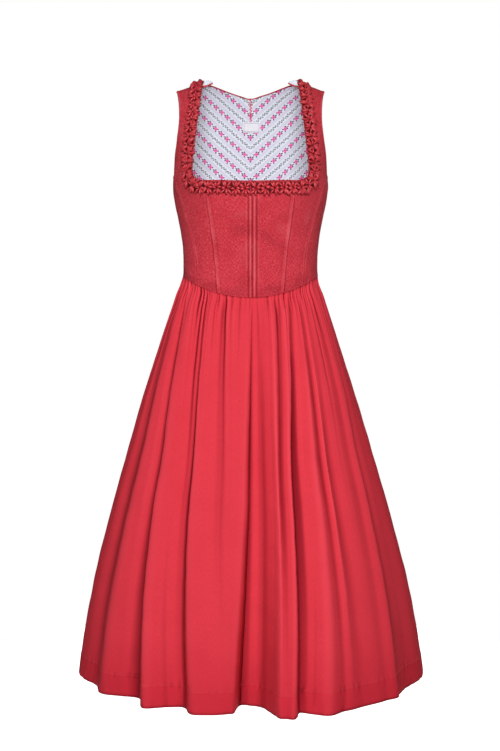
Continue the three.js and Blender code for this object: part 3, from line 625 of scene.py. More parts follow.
printed = {
    "slope": math.radians(40.5),    # of the stripes, which meet in a V at centre back
    "pitch": 0.0345,                # between two rows of flowers
    "first": 0.1240,                # down centre back to a row's lowest point
    "follow": 0.7,                  # 0: the pattern's rows keep level, 1: they follow the cloth over the back
    "flowerStep": 0.0162,
    "level": 7,                     # the bodice row from which heights over the cloth are counted
    "raised": 76,                   # in millimetres, from the cloth's heights to the pattern's own
    "ground": colourOf(211, 213, 232),
    "band": colourOf(226, 235, 245),
    "pink": colourOf(234, 82, 172),
    "palePink": colourOf(250, 168, 212),
    "magenta": colourOf(188, 56, 148),
    "leaf": colourOf(36, 58, 66),
    "grey": colourOf(74, 82, 92),
    "greyPale": colourOf(140, 146, 158),
}


def makeFlowerCotton():
    # rows of small flowers and rows of grey sprigs, worked out from the cloth's own two ways
    material, tree, shader = newMaterial("flowerCotton", 0.8, 0.1, white, 0.25)
    uv, u, v = flatPlace(tree)

    add, less, times = arithmetic(tree)
    side = sums(tree, "ABSOLUTE", u)
    slopeSin, slopeCos = math.sin(printed["slope"]), math.cos(printed["slope"])
    fall = less(times(v, -1.0), printed["first"])
    across = add(times(side, slopeSin), times(fall, slopeCos))      # square to the stripes
    along = less(times(side, slopeCos), times(fall, slopeSin))

    def signedRepeat(value, pitch):
        # how far past (+) or before (-) the nearest of a row of even marks
        return sums(tree, "WRAP", value, pitch / 2, -pitch / 2)

    def blot(a, b, halfA, halfB, soft=0.35):
        # an oval spot, 1 inside and 0 outside
        size = add(times(times(a, 1 / halfA), times(a, 1 / halfA)),
                   times(times(b, 1 / halfB), times(b, 1 / halfB)))
        return remap(tree, size, 1 + soft, 1 - soft)

    row = signedRepeat(across, printed["pitch"])
    step = printed["flowerStep"]
    rowIndex = sums(tree, "FLOOR", add(times(across, 1 / printed["pitch"]), 0.5))
    shifted = add(along, times(rowIndex, printed["pitch"] * math.tan(printed["slope"])))
    place = signedRepeat(shifted, step)
    far = sums(tree, "SQRT", add(times(row, row), times(place, place)))
    around = sums(tree, "ARCTAN2", row, place)
    petals = times(sums(tree, "COSINE", times(around, 5)), 0.00035)
    flower = remap(tree, less(far, petals), 0.0040, 0.0034)
    heart = remap(tree, far, 0.0017, 0.0008)
    ring = times(remap(tree, far, 0.0009, 0.0018), remap(tree, far, 0.0031, 0.0022))

    def leaf(offsetAlong, offsetAcross, halfA=0.0017, halfB=0.0014):
        return blot(less(place, offsetAlong), less(row, offsetAcross), halfA, halfB)

    leaves = leaf(0.0042, 0.0026)
    for spot in ((-0.0043, -0.0024), (0.0034, -0.0034), (-0.0030, 0.0038), (0.0060, -0.0004)):
        leaves = sums(tree, "MAXIMUM", leaves, leaf(*spot))
    half = signedRepeat(add(shifted, step / 2), step)
    bud = blot(half, less(row, 0.0004), 0.0014, 0.0013)

    sprig = signedRepeat(add(across, printed["pitch"] / 2), printed["pitch"])
    wave = times(sums(tree, "SINE", times(along, 2 * math.pi / 0.0135)), 0.0009)
    offWave = less(sprig, wave)
    stem = remap(tree, sums(tree, "ABSOLUTE", offWave), 0.0005, 0.0002)
    leafA = blot(signedRepeat(along, 0.0060), less(offWave, 0.0015), 0.0021, 0.0014)
    leafB = blot(signedRepeat(add(along, 0.0030), 0.0060), add(offWave, 0.0015), 0.0020, 0.0014)
    darkLeaf = remap(tree, noise(tree, uv, 190, 1), 0.44, 0.56)

    bandWidth = remap(tree, sums(tree, "ABSOLUTE", sprig), 0.0042, 0.0072)
    bandWidth = times(bandWidth, remap(tree, sums(tree, "ABSOLUTE", row), 0.0030, 0.0068))
    ground = blendColour(tree, times(bandWidth, 0.9), printed["band"], printed["ground"])
    colour = blendColour(tree, times(stem, 0.5), ground, printed["greyPale"])
    sprigColour = blendColour(tree, darkLeaf, printed["greyPale"], printed["grey"])
    colour = blendColour(tree, times(sums(tree, "MAXIMUM", leafA, leafB), 0.9), colour, sprigColour)
    colour = blendColour(tree, leaves, colour, printed["leaf"])
    colour = blendColour(tree, bud, colour, printed["magenta"])
    colour = blendColour(tree, flower, colour, printed["pink"])
    colour = blendColour(tree, times(times(flower, ring), 0.45), colour, printed["palePink"])
    colour = blendColour(tree, times(heart, 0.5), colour, printed["magenta"])
    tree.links.new(colour, shader.inputs["Base Color"])
    height = weaveHeight(tree, u, v, 0.0005)
    bumpOn(tree, shader, height, 0.0001, 0.5)
    return material


def makeTape():
    material, tree, shader = newMaterial("labelTape", 0.75, 0.1, white, 0.3)
    uv, _, v = flatPlace(tree)
    ribs = sums(tree, "SINE", sums(tree, "MULTIPLY", v, 2 * math.pi / 0.0007))
    threads = noise(tree, uv, 700, 2, (0.4, 2, 1))
    tree.links.new(blendColour(tree, remap(tree, threads, 0.3, 0.7), colourOf(226, 230, 240),
                               colourOf(240, 243, 250)), shader.inputs["Base Color"])
    bumpOn(tree, shader, ribs, 0.00008, 0.6)
    return material


linen = makeBodiceCloth()
cotton = makeSkirtCloth()
ribbon = makeTrimCloth()
# the flat of the ribbon at the bottom of the ruching is painted dark, a painted shade where little light
# reaches
ribbonPaintedShade = makePlain("trimPaintedShade", colourOf(86, 5, 15), 0.0, 0.2)
cording = makePipingCloth()
flowered = makeFlowerCotton()
# the flowered cotton's plain facing
plainCotton = makePlain("plainCotton", printed["band"], 0.1, 0.25)
tape = makeTape()
redThread = makeThread("redThread", colourOf(206, 52, 66))
zigzagThread = makeThread("zigzagThread", colourOf(238, 24, 80))
greyThread = makeThread("greyThread", colourOf(84, 92, 108))
print("materials made")

# Geometry Nodes for what repeats: stitches along a line, and the folds of the ruched band


def newTree(name, inputs):
    tree = bpy.data.node_groups.new(name, "GeometryNodeTree")
    tree.interface.new_socket("Geometry", in_out="INPUT", socket_type="NodeSocketGeometry")
    for label, kind in inputs.items():
        tree.interface.new_socket(label, in_out="INPUT", socket_type="NodeSocket" + kind)
    tree.interface.new_socket("Geometry", in_out="OUTPUT", socket_type="NodeSocketGeometry")
    return tree, addNode(tree, "NodeGroupInput"), addNode(tree, "NodeGroupOutput")


def grown(source, tree, values, name):
    # puts the tree on the source line, sets its inputs, and returns the result as a plain mesh
    modifier = source.modifiers.new(tree.name, "NODES")
    modifier.node_group = tree
    for item in tree.interface.items_tree:
        if item.item_type == "SOCKET" and item.in_out == "INPUT" and item.name in values:
            modifier[item.identifier] = values[item.name]
    evaluated = source.evaluated_get(bpy.context.evaluated_depsgraph_get())
    mesh = bpy.data.meshes.new_from_object(evaluated)
    source.modifiers.clear()
    bpy.data.objects.remove(source)
    mesh.name = name
    return addObject(name, mesh)


def guideLine(name, points, outs, reach=None):
    # a line of points that knows which way is out of the cloth, and how far folds reach from it
    mesh = bpy.data.meshes.new(name)
    mesh.from_pydata((np.asarray(points) * mm).tolist(), [(i, i + 1) for i in range(len(points) - 1)], [])
    layer = mesh.attributes.new("out", "FLOAT_VECTOR", "POINT")
    layer.data.foreach_set("vector", np.asarray(outs, np.float32).ravel())
    if reach is not None:
        mesh.attributes.new("reach", "FLOAT", "POINT").data.foreach_set("value", reach)
    return addObject(name, mesh)


def evenPoints(tree, given, countName):
    # evenly spaced points on the guide line, with the way along it and the way out
    curve = addNode(tree, "GeometryNodeMeshToCurve", {"Mesh": given.outputs["Geometry"]})
    even = addNode(tree, "GeometryNodeResampleCurve", {
        "Curve": curve.outputs[0], "Count": given.outputs[countName]})
    points = addNode(tree, "GeometryNodeCurveToPoints", {"Curve": even.outputs[0]}, mode="EVALUATED")
    out = addNode(tree, "GeometryNodeInputNamedAttribute", {"Name": "out"}, data_type="FLOAT_VECTOR")
    facing = addNode(tree, "FunctionNodeAxesToRotation", {
        "Primary Axis": out.outputs["Attribute"], "Secondary Axis": points.outputs["Tangent"],
    }, primary_axis="Z", secondary_axis="X")
    stored = addNode(tree, "GeometryNodeStoreNamedAttribute", {
        "Geometry": points.outputs["Points"], "Name": "facing", "Value": facing.outputs[0],
    }, data_type="QUATERNION", domain="POINT")
    return stored.outputs[0]


def finishTree(tree, ends, instances, given):
    real = addNode(tree, "GeometryNodeRealizeInstances", {"Geometry": instances})
    smooth = addNode(tree, "GeometryNodeSetShadeSmooth", {"Geometry": real.outputs[0]})
    painted = addNode(tree, "GeometryNodeSetMaterial", {
        "Geometry": smooth.outputs[0], "Material": given.outputs["Material"]})
    tree.links.new(painted.outputs[0], ends.inputs["Geometry"])


def makeStitchTree():
    tree, given, ends = newTree("stitchRow", {
        "Count": "Int", "Length": "Float", "Thickness": "Float", "Slant": "Float", "Seed": "Int",
        "Material": "Material"})
    add, less, times = arithmetic(tree)
    points = evenPoints(tree, given, "Count")
    stitch = addNode(tree, "GeometryNodeMeshUVSphere", {"Segments": 8, "Rings": 4, "Radius": 0.5})
    index = addNode(tree, "GeometryNodeInputIndex").outputs[0]
    odd = less(times(sums(tree, "MODULO", index, 2.0), 2.0), 1.0)
    angle = times(odd, given.outputs["Slant"])
    spread = addNode(tree, "FunctionNodeRandomValue", {
        "Seed": given.outputs["Seed"], 2: -0.06, 3: 0.06}, data_type="FLOAT").outputs[1]
    spin = addNode(tree, "FunctionNodeAxisAngleToRotation", {
        "Axis": (0, 0, 1), "Angle": add(angle, spread)})
    facing = addNode(tree, "GeometryNodeInputNamedAttribute", {"Name": "facing"}, data_type="QUATERNION")
    turned = addNode(tree, "FunctionNodeRotateRotation", {
        "Rotation": facing.outputs["Attribute"], "Rotate By": spin.outputs[0]}, rotation_space="LOCAL")
    size = addNode(tree, "ShaderNodeCombineXYZ", {
        0: given.outputs["Length"], 1: given.outputs["Thickness"], 2: given.outputs["Thickness"]})
    placed = addNode(tree, "GeometryNodeInstanceOnPoints", {
        "Points": points, "Instance": stitch.outputs[0], "Rotation": turned.outputs[0],
        "Scale": size.outputs[0]})
    finishTree(tree, ends, placed.outputs[0], given)
    return tree


def makeRuchedTree():
    # from each tacked point eight folds spread like petals: four slanting ones that meet their
    # neighbours at the band's edges, two square to the band and two low ones along it
    tree, given, ends = newTree("ruchedFolds", {
        "Tacks": "Int", "Slanting": "Float", "Square": "Float", "Along": "Float", "Width": "Float",
        "Rise": "Float", "Uneven": "Float", "Seed": "Int", "Material": "Material"})
    add, less, times = arithmetic(tree)
    points = evenPoints(tree, given, "Tacks")
    each = addNode(tree, "GeometryNodeDuplicateElements", {"Geometry": points, "Amount": 8}, domain="POINT")
    number = each.outputs["Duplicate Index"]
    keep = addNode(tree, "GeometryNodeStoreNamedAttribute", {
        "Geometry": each.outputs["Geometry"], "Name": "number", "Value": number,
    }, data_type="INT", domain="POINT")
    number = addNode(tree, "GeometryNodeInputNamedAttribute", {"Name": "number"},
                     data_type="INT").outputs["Attribute"]
    quarter = times(number, math.pi / 2)
    slantSign = sums(tree, "SINE", quarter)
    slanting = sums(tree, "ABSOLUTE", slantSign)
    kind = sums(tree, "COSINE", quarter)            # 1 along the band, -1 square to it

    def scatter(seedStep, low, high):
        seed = add(given.outputs["Seed"], float(seedStep))
        return addNode(tree, "FunctionNodeRandomValue", {"Seed": seed, 2: low, 3: high},
                       data_type="FLOAT").outputs[1]

    uneven = given.outputs["Uneven"]
    angle = times(number, math.pi / 4)
    angle = add(angle, times(slantSign, math.radians(6)))
    angle = add(angle, times(uneven, scatter(1, -1.0, 1.0)))
    square, along = given.outputs["Square"], given.outputs["Along"]
    middle = times(add(square, along), 0.5)
    half = times(less(square, along), 0.5)
    straight = less(middle, times(kind, half))
    length = addNode(tree, "ShaderNodeMix", {0: slanting, 2: straight, 3: given.outputs["Slanting"]},
                     data_type="FLOAT").outputs[0]
    length = times(length, add(1.0, times(uneven, scatter(2, -0.6, 0.6))))
    reach = addNode(tree, "GeometryNodeInputNamedAttribute", {"Name": "reach"}, data_type="FLOAT")
    length = times(length, reach.outputs["Attribute"])
    width = times(given.outputs["Width"], add(1.0, times(uneven, scatter(3, -1.2, 1.2))))
    low = remap(tree, kind, 0.2, 0.8, 1.0, 0.62)
    rise = times(times(given.outputs["Rise"], low), add(1.0, times(uneven, scatter(4, -1.4, 1.0))))

    # one fold of cloth, 1 long, 1 wide and 1 high: a closed leaf with a rounded back
    grid = addNode(tree, "GeometryNodeMeshGrid", {
        "Size X": 1.0, "Size Y": 1.0, "Vertices X": 9, "Vertices Y": 9})
    place = addNode(tree, "ShaderNodeSeparateXYZ", {0: addNode(tree, "GeometryNodeInputPosition").outputs[0]})
    run = add(place.outputs[0], 0.5)
    around = times(add(place.outputs[1], 0.5), 2 * math.pi)
    swell = sums(tree, "SINE", times(sums(tree, "POWER", run, 1.2), math.pi))
    swell = sums(tree, "MAXIMUM", sums(tree, "POWER", swell, 0.85), 0.02)
    lift = sums(tree, "SINE", times(sums(tree, "POWER", run, 0.85), math.pi))
    lift = sums(tree, "POWER", sums(tree, "MAXIMUM", lift, 0.0), 0.8)
    # a crest like a tent's above, and nearly flat below
    crest = less(1.0, sums(tree, "POWER", sums(tree, "ABSOLUTE", sums(tree, "COSINE", around)), 1.2))
    upper = sums(tree, "GREATER_THAN", sums(tree, "SINE", around), 0.0001)
    below = sums(tree, "MAXIMUM", sums(tree, "SINE", around), -0.15)
    ridge = addNode(tree, "ShaderNodeMix", {0: upper, 2: below, 3: crest}, data_type="FLOAT").outputs[0]
    z = times(ridge, lift)
    y = times(times(sums(tree, "COSINE", around), swell), 0.5)
    y = add(y, times(z, 0.28))
    shaped = addNode(tree, "GeometryNodeSetPosition", {
        "Geometry": grid.outputs[0],
        "Position": addNode(tree, "ShaderNodeCombineXYZ", {0: run, 1: y, 2: z}).outputs[0]})
    # painted shade low between the folds and a painted highlight on their crests, from each point's height
    deep = remap(tree, z, 0.0, 1.0, 1.0, -0.9, soft=False)
    marked = addNode(tree, "GeometryNodeStoreNamedAttribute", {
        "Geometry": grid.outputs[0], "Name": "hollow", "Value": deep}, data_type="FLOAT", domain="POINT")
    tree.links.new(marked.outputs[0], shaped.inputs["Geometry"])
    leaf = addNode(tree, "GeometryNodeMergeByDistance", {"Geometry": shaped.outputs[0], "Distance": 0.0005})

    spin = addNode(tree, "FunctionNodeAxisAngleToRotation", {"Axis": (0, 0, 1), "Angle": angle})
    facing = addNode(tree, "GeometryNodeInputNamedAttribute", {"Name": "facing"}, data_type="QUATERNION")
    turned = addNode(tree, "FunctionNodeRotateRotation", {
        "Rotation": facing.outputs["Attribute"], "Rotate By": spin.outputs[0]}, rotation_space="LOCAL")
    size = addNode(tree, "ShaderNodeCombineXYZ", {0: length, 1: width, 2: rise})
    placed = addNode(tree, "GeometryNodeInstanceOnPoints", {
        "Points": keep.outputs[0], "Instance": leaf.outputs[0], "Rotation": turned.outputs[0],
        "Scale": size.outputs[0]})
    finishTree(tree, ends, placed.outputs[0], given)
    return tree


stitchTree = makeStitchTree()
ruchedTree = makeRuchedTree()
print("node trees made")

# Bodice pieces

cut = {
    "frontWall": 2.0,
    "backWall": 1.3,
    "liningWall": 1.0,
    "liningGap": 1.7,
    "liningInset": 0.5,
    # distances from a side edge at which a piece has a line of points
    "near": [0, 0.5, 1, 1.6, 2.3, 3.2, 4.2, 5, 5.8, 6.6, 7.4, 8.2, 9, 10, 11.5, 13.5],
    "liningNear": [0, 0.4, 0.9, 1.6, 3],
    "rollWidth": 1.5,
    "rollDepth": 0.75,
    "closing": 3.5,         # the closed edges meet this far to the wearer's left of the middle
    "thinnest": 0.3,
    "meanReach": 140,       # the bodice's mean distance from its middle, for laying its cloth flat
    "deepCrease": 1.4,      # a crease this deep is shaded in full
    "waistShade": 38,       # the shade above the waist seam ends this far up
}


def patchSpots(sides, u, v):
    bottom, top, left, right = (sides[k] for k in ("bottom", "top", "left", "right"))
    zero, one = np.array(0.0), np.array(1.0)
    b, t, l, r = bottom(u), top(u), left(v), right(v)
    uu, vv = u[..., None], v[..., None]
    corners = ((1 - uu) * (1 - vv) * bottom(zero) + uu * (1 - vv) * bottom(one)
               + (1 - uu) * vv * top(zero) + uu * vv * top(one))
    return (1 - vv) * b + vv * t + (1 - uu) * l + uu * r - corners


def patchPlaces(sides, columns, rows, near):
    # u and v for a grid whose lines crowd in towards the edges, where seams and stitching lie
    v = np.linspace(0, 1, rows)
    coarse = patchSpots(sides, *np.broadcast_arrays(np.linspace(0, 1, 24)[None, :], v[:, None]))
    points = bodicePoint(coarse)
    width = lengths(points, 1)[:, -1]
    tall = float(lengths(points, 0)[-1].mean())
    step = np.array(near, float)
    ends = step / tall
    v = np.concatenate([ends, np.linspace(ends[-1], 1 - ends[-1], rows)[1:-1], 1 - ends[::-1]])
    width = np.interp(v, np.linspace(0, 1, len(width)), width)[:, None]
    shrink = np.minimum(1, 0.42 * width / step[-1])
    sideStep = step[None, :] * shrink / width
    share = np.linspace(0, 1, columns)[1:-1][None, :]
    middle = sideStep[:, -1:] + (1 - 2 * sideStep[:, -1:]) * share
    u = np.concatenate([sideStep, middle, 1 - sideStep[:, ::-1]], axis=1)
    return np.broadcast_arrays(u, v[:, None])


def groove(distance, at, wide, deep):
    return -deep * np.exp(-((distance - at) / wide) ** 2)


def bodicePiece(name, sides, columns, rows, wall, features, lift=0.0, flip=False, near=None, shade=0.5):
    u, v = patchPlaces(sides, columns, rows, near or cut["near"])
    spots = patchSpots(sides, u, v)
    base = bodicePoint(spots)
    fromLeft, fromBottom = lengths(base, 1), lengths(base, 0)
    fromRight, fromTop = fromLeft[:, -1:] - fromLeft, fromBottom[-1:] - fromBottom
    if flip:
        spots = spots * [-1, 1]
    place, normal = bodicePoint(spots), bodiceNormal(spots)
    raised = lift + features(fromLeft, fromRight, fromBottom, fromTop, 1 if flip else 0)
    outer = place + normal * raised[..., None]
    inner = place + normal * (lift - wall)
    thin = cut["thinnest"]
    inner = np.where((raised < lift - wall + thin)[..., None], outer - normal * thin, inner)
    angle = np.arctan2(place[..., 0], -place[..., 1])
    uv = np.stack([angle * cut["meanReach"], place[..., 2]], axis=-1)
    # painted shade for the material: deeper creases get more, ridges get a painted highlight, and the last
    # waistShade millimetres above the waist seam are painted darker
    hollow = (lift - raised) / cut["deepCrease"] + shade * (1 - smoothRise(fromBottom / cut["waistShade"]))
    hollow = np.clip(hollow, -1, 1)
    return clothWall(name, outer, inner, uv, hollow), spots


def sewn(distance, ridge=0.45):
    # a seam: the cloth rolls in at the edge and swells a little beside it
    return groove(distance, 0, cut["rollWidth"], cut["rollDepth"]) - groove(distance, 3.0, 1.5, ridge)


def turnedEdge(distance):
    # a finished edge: turned under and rounded
    return groove(distance, 0, 1.0, 0.6) - groove(distance, 3, 2.0, 0.3) + groove(distance, 6.6, 0.7, 0.25)


def frontCentreSides(inner):
    # inner: how far the closing edge lies from the middle, towards the piece's own side
    seam = fromWaist(edgeLine("princess"))
    neck, corner = edges["frontNeckCentre"], edges["frontNeckCorner"][0]
    start = bodiceSpot(inner, waistHeight(0), False)
    foot = waistHeight(start[0])
    return {
        "bottom": waistLine(start[0], seam(np.array(0.0))[0]),
        "top": lambda u: neckFootSpot((inner + (corner - inner) * np.asarray(u)) / corner),
        "left": lambda v: bodiceSpot(inner + 0 * v, foot + (neck - foot) * v, False),
        "right": lambda v: seam(v * 0.5),
    }


def frontSideSides():
    left = joined(fromWaist(edgeLine("princess")), edgeLine("frontNeck"), 0.5)
    right = joined(fromWaist(edgeLine("sideFront")), edgeLine("frontArmhole"), 0.5)
    inner, outer = body["shoulderNeck"], body["shoulderOuter"]
    zero = np.array(0.0)
    return {
        "bottom": waistLine(left(zero)[0], right(zero)[0]),
        "top": lambda u: spotAtLevel(inner + (outer - inner) * u, 0 * u, False),
        "left": endAtShoulder(left),
        "right": endAtShoulder(right),
    }


def sideSides():
    front, back = fromWaist(edgeLine("sideFront")), fromWaist(edgeLine("sideBack", True))
    first, last = front(np.array(0.5)), back(np.array(1.0))
    low = bodiceSpot(0, edges["underarm"], False)[1]

    def top(u):
        turn = first[0] + (last[0] - first[0]) * u
        straight = first[1] + (last[1] - first[1]) * u
        return np.stack([turn, straight + (low - straight) * np.sin(math.pi * u)], axis=-1)

    return {"bottom": waistLine(front(np.array(0.0))[0], back(np.array(0.0))[0]), "top": top,
            "left": lambda v: front(v * 0.5), "right": back}


def backSideSides():
    outer, inner = fromWaist(edgeLine("sideBack", True)), fromWaist(edgeLine("back", True))
    armhole = edgeLine("lowBackArmhole", True)
    zero = np.array(0.0)
    return {"bottom": waistLine(outer(zero)[0], inner(zero)[0]), "top": lambda u: armhole(1 - u),
            "left": outer, "right": lambda v: inner(v * 0.6)}


def backCentreSides():
    edge = endAtShoulder(joined(fromWaist(edgeLine("back", True)), edgeLine("backArmhole", True), 0.6))
    start = edge(np.array(0.0))[0]

    def right(v):
        spots = edge(v)
        return np.stack([360 - spots[..., 0], spots[..., 1]], axis=-1)

    return {"bottom": waistLine(start, 360 - start), "left": edge, "right": right,
            "top": lambda u: backNeckSpot(body["shoulderOuter"] * (1 - 2 * u))}


def liningSides():
    turn, split = edges["liningSide"]
    foot, head = waistSpot(turn)[1], bodiceSpot(0, edges["underarm"], False)[1]

    def side(at):
        share = np.asarray(at) / split
        return np.stack([turn + 0 * share, foot + (head - foot) * share], axis=-1)

    middleFoot, neck = waistSpot(180)[1], backNeckSpot(0.0)[1]
    inset = body["shoulderOuter"] - cut["liningInset"]
    return {"bottom": waistLine(turn, 180),
            "left": endAtShoulder(joined(side, edgeLine("liningArmhole", True), split)),
            "right": lambda v: np.stack([180 + 0 * v, middleFoot + (neck - middleFoot) * v], axis=-1),
            "top": lambda u: backNeckSpot(inset * (1 - u))}


def frontCentreForm(fromLeft, fromRight, fromBottom, fromTop, side):
    fold = 8.8 - side * 1.2             # the placket is a little wider on the wearer's left
    form = groove(fromLeft, 0, 1.2, 1.5) - groove(fromLeft, fold / 2, 2.0, 1.3)
    form += groove(fromLeft, fold, 1.5, 1.5) - groove(fromLeft, fold + 3.2, 1.4, 0.6)
    form += sewn(fromRight, 0.9) + groove(fromRight, 9.8, 1.2, 0.7) - groove(fromRight, 6.5, 2.2, 0.5)
    form *= smoothRise((fromTop - 22) / 7)          # flat under the ruched band
    form += turnedEdge(fromBottom) * 0.6 + groove(fromTop, 0, 1.2, 0.5)
    fade = smoothRise(fromBottom / 20) * smoothRise(fromTop / 12)
    return form + 0.35 * fade * waver(fromLeft, fromBottom, 11 + side, 60) \
        + 0.08 * waver(fromLeft, fromBottom * 2.2, 21 + side, 12)


def frontSideForm(fromLeft, fromRight, fromBottom, fromTop, side):
    form = sewn(fromLeft, 0.1) + sewn(fromRight, 0.8) + turnedEdge(fromBottom) * 0.6
    return form + 0.25 * smoothRise(fromBottom / 20) * waver(fromLeft, fromBottom, 31 + side, 45) \
        + 0.08 * waver(fromLeft, fromBottom * 2.2, 33 + side, 12)


def plainForm(fromLeft, fromRight, fromBottom, fromTop, side):
    form = sewn(fromLeft) + sewn(fromRight) + turnedEdge(fromBottom) * 0.6 + turnedEdge(fromTop)
    return form + 0.2 * waver(fromLeft, fromBottom, 41 + side, 40) \
        + 0.06 * waver(fromLeft, fromBottom * 2.2, 43 + side, 12)


def liningForm(fromLeft, fromRight, fromBottom, fromTop, side):
    return 0.25 * waver(fromLeft, fromBottom, 51 + side, 50)


def finishPanel(made, node):
    dress(made, linen, "bodice_cloth", node)


def makeBodice():
    plans = [
        # piece, its four sides, columns and rows of the grid, wall, form
        ("front_centre", None, 26, 60, cut["frontWall"], frontCentreForm),
        ("front_side", frontSideSides(), 20, 110, cut["frontWall"], frontSideForm),
        ("side", sideSides(), 34, 60, cut["backWall"], plainForm),
        ("back_side", backSideSides(), 18, 70, cut["backWall"], plainForm),
    ]
    for name, sides, columns, rows, wall, form in plans:
        for side, sign in bothSides:
            lines = sides or frontCentreSides(cut["closing"] * sign)
            made, _ = bodicePiece(f"{name}_{side}_cloth", lines, columns, rows, wall, form, flip=sign < 0)
            finishPanel(made, f"{name}_{side}")
    made, _ = bodicePiece("back_centre_cloth", backCentreSides(), 80, 110, cut["backWall"], plainForm)
    finishPanel(made, "back_centre")


def liningPlace(spots):
    # the lining laid flat: how far each spot lies from centre back, and how far down the cloth
    turns = np.linspace(edges["liningSide"][0], 180, 60)
    levels = np.linspace(0, lastLevel, 90)
    points = bodicePoint(np.stack(np.meshgrid(turns, levels), axis=-1))
    run, drop = lengths(points, 1), lengths(points, 0)
    run = run[:, -1:] - run
    level = int(np.argmin(np.abs(levels - printed["level"])))
    over = points[level, :, 2] + drop[level] - drop             # height measured over the cloth
    rise = points[..., 2] + printed["follow"] * (over - points[..., 2])
    turn = np.where(spots[..., 0] > 180, 360 - spots[..., 0], spots[..., 0])
    turn = np.where(turn < 0, -turn, turn)
    i = np.interp(turn, turns, np.arange(len(turns)))
    j = np.interp(spots[..., 1], levels, np.arange(len(levels)))
    i0, j0 = np.minimum(i.astype(int), len(turns) - 2), np.minimum(j.astype(int), len(levels) - 2)
    fi, fj = i - i0, j - j0

    def between(table):
        return ((1 - fi) * (1 - fj) * table[j0, i0] + fi * (1 - fj) * table[j0, i0 + 1]
                + (1 - fi) * fj * table[j0 + 1, i0] + fi * fj * table[j0 + 1, i0 + 1])

    return np.stack([between(run), between(rise) - printed["raised"]], axis=-1)


def joinInto(keeper, *others):
    # one mesh from several, without operators
    joinedMesh = bmesh.new()
    for piece in (keeper, *others):
        joinedMesh.from_mesh(piece.data)
    joinedMesh.to_mesh(keeper.data)
    joinedMesh.free()
    for piece in others:
        bpy.data.objects.remove(piece)
    return keeper


def faceOut(piece):
    shape = bmesh.new()
    shape.from_mesh(piece.data)
    bmesh.ops.remove_doubles(shape, verts=shape.verts, dist=1e-6)
    bmesh.ops.recalc_face_normals(shape, faces=shape.faces)
    shape.to_mesh(piece.data)
    shape.free()
    return piece


# the facing at the end of each shoulder strap turns inwards and shows, with the cord along its lower edge
tab = {
    "inner": 77, "outer": 98, "depth": -1, "wall": 0.8,
    "top": (9.2, 8.6), "foot": (5.0, -2.8),         # heights at the inner and at the outer end
    "bow": 1.6, "crown": 1.4,
}


def tabFoot(share):
    low = tab["foot"][0] + (tab["foot"][1] - tab["foot"][0]) * share
    return low - tab["bow"] * np.sin(math.pi * share)


def tabDepth(share):
    return tab["depth"] + 0.5 * np.sin(share * 7) + 5 * (1 - share) ** 3


def shoulderTab(sign):
    share = np.linspace(0, 1, 22)[None, :]
    up = np.linspace(0, 1, 12)[:, None]
    x = tab["inner"] + (tab["outer"] - tab["inner"]) * share
    top = tab["top"][0] + (tab["top"][1] - tab["top"][0]) * share - 3.2 * (1 - share) ** 6
    z = tabFoot(share) + (top - tabFoot(share)) * up
    y = tabDepth(share) - tab["crown"] * np.sin(math.pi * up)
    outer = np.stack(np.broadcast_arrays(sign * x, y, z), axis=-1)
    inner = outer + [0, tab["wall"], 0]
    return clothWall("shoulderTab", outer, inner, outer[..., [0, 2]])


def makeLining():
    lift = -cut["backWall"] - cut["liningGap"]
    for side, sign in bothSides:
        made, spots = bodicePiece(f"lining_back_{side}_cloth", liningSides(), 60, 110, cut["liningWall"],
                                  liningForm, lift=lift, flip=sign < 0, near=cut["liningNear"], shade=0)
        setUv(made.data, liningPlace(spots).reshape(-1, 2))
        plainFrom = len(made.data.polygons)
        joinInto(made, shoulderTab(sign))
        dress(made, flowered, "lining_cotton", f"lining_back_{side}")
        made.data.materials.append(plainCotton)
        made.data.polygons.foreach_set("material_index", [
            int(i >= plainFrom) for i in range(len(made.data.polygons))])


makeBodice()
makeLining()
print("bodice and lining made")

# Skirt

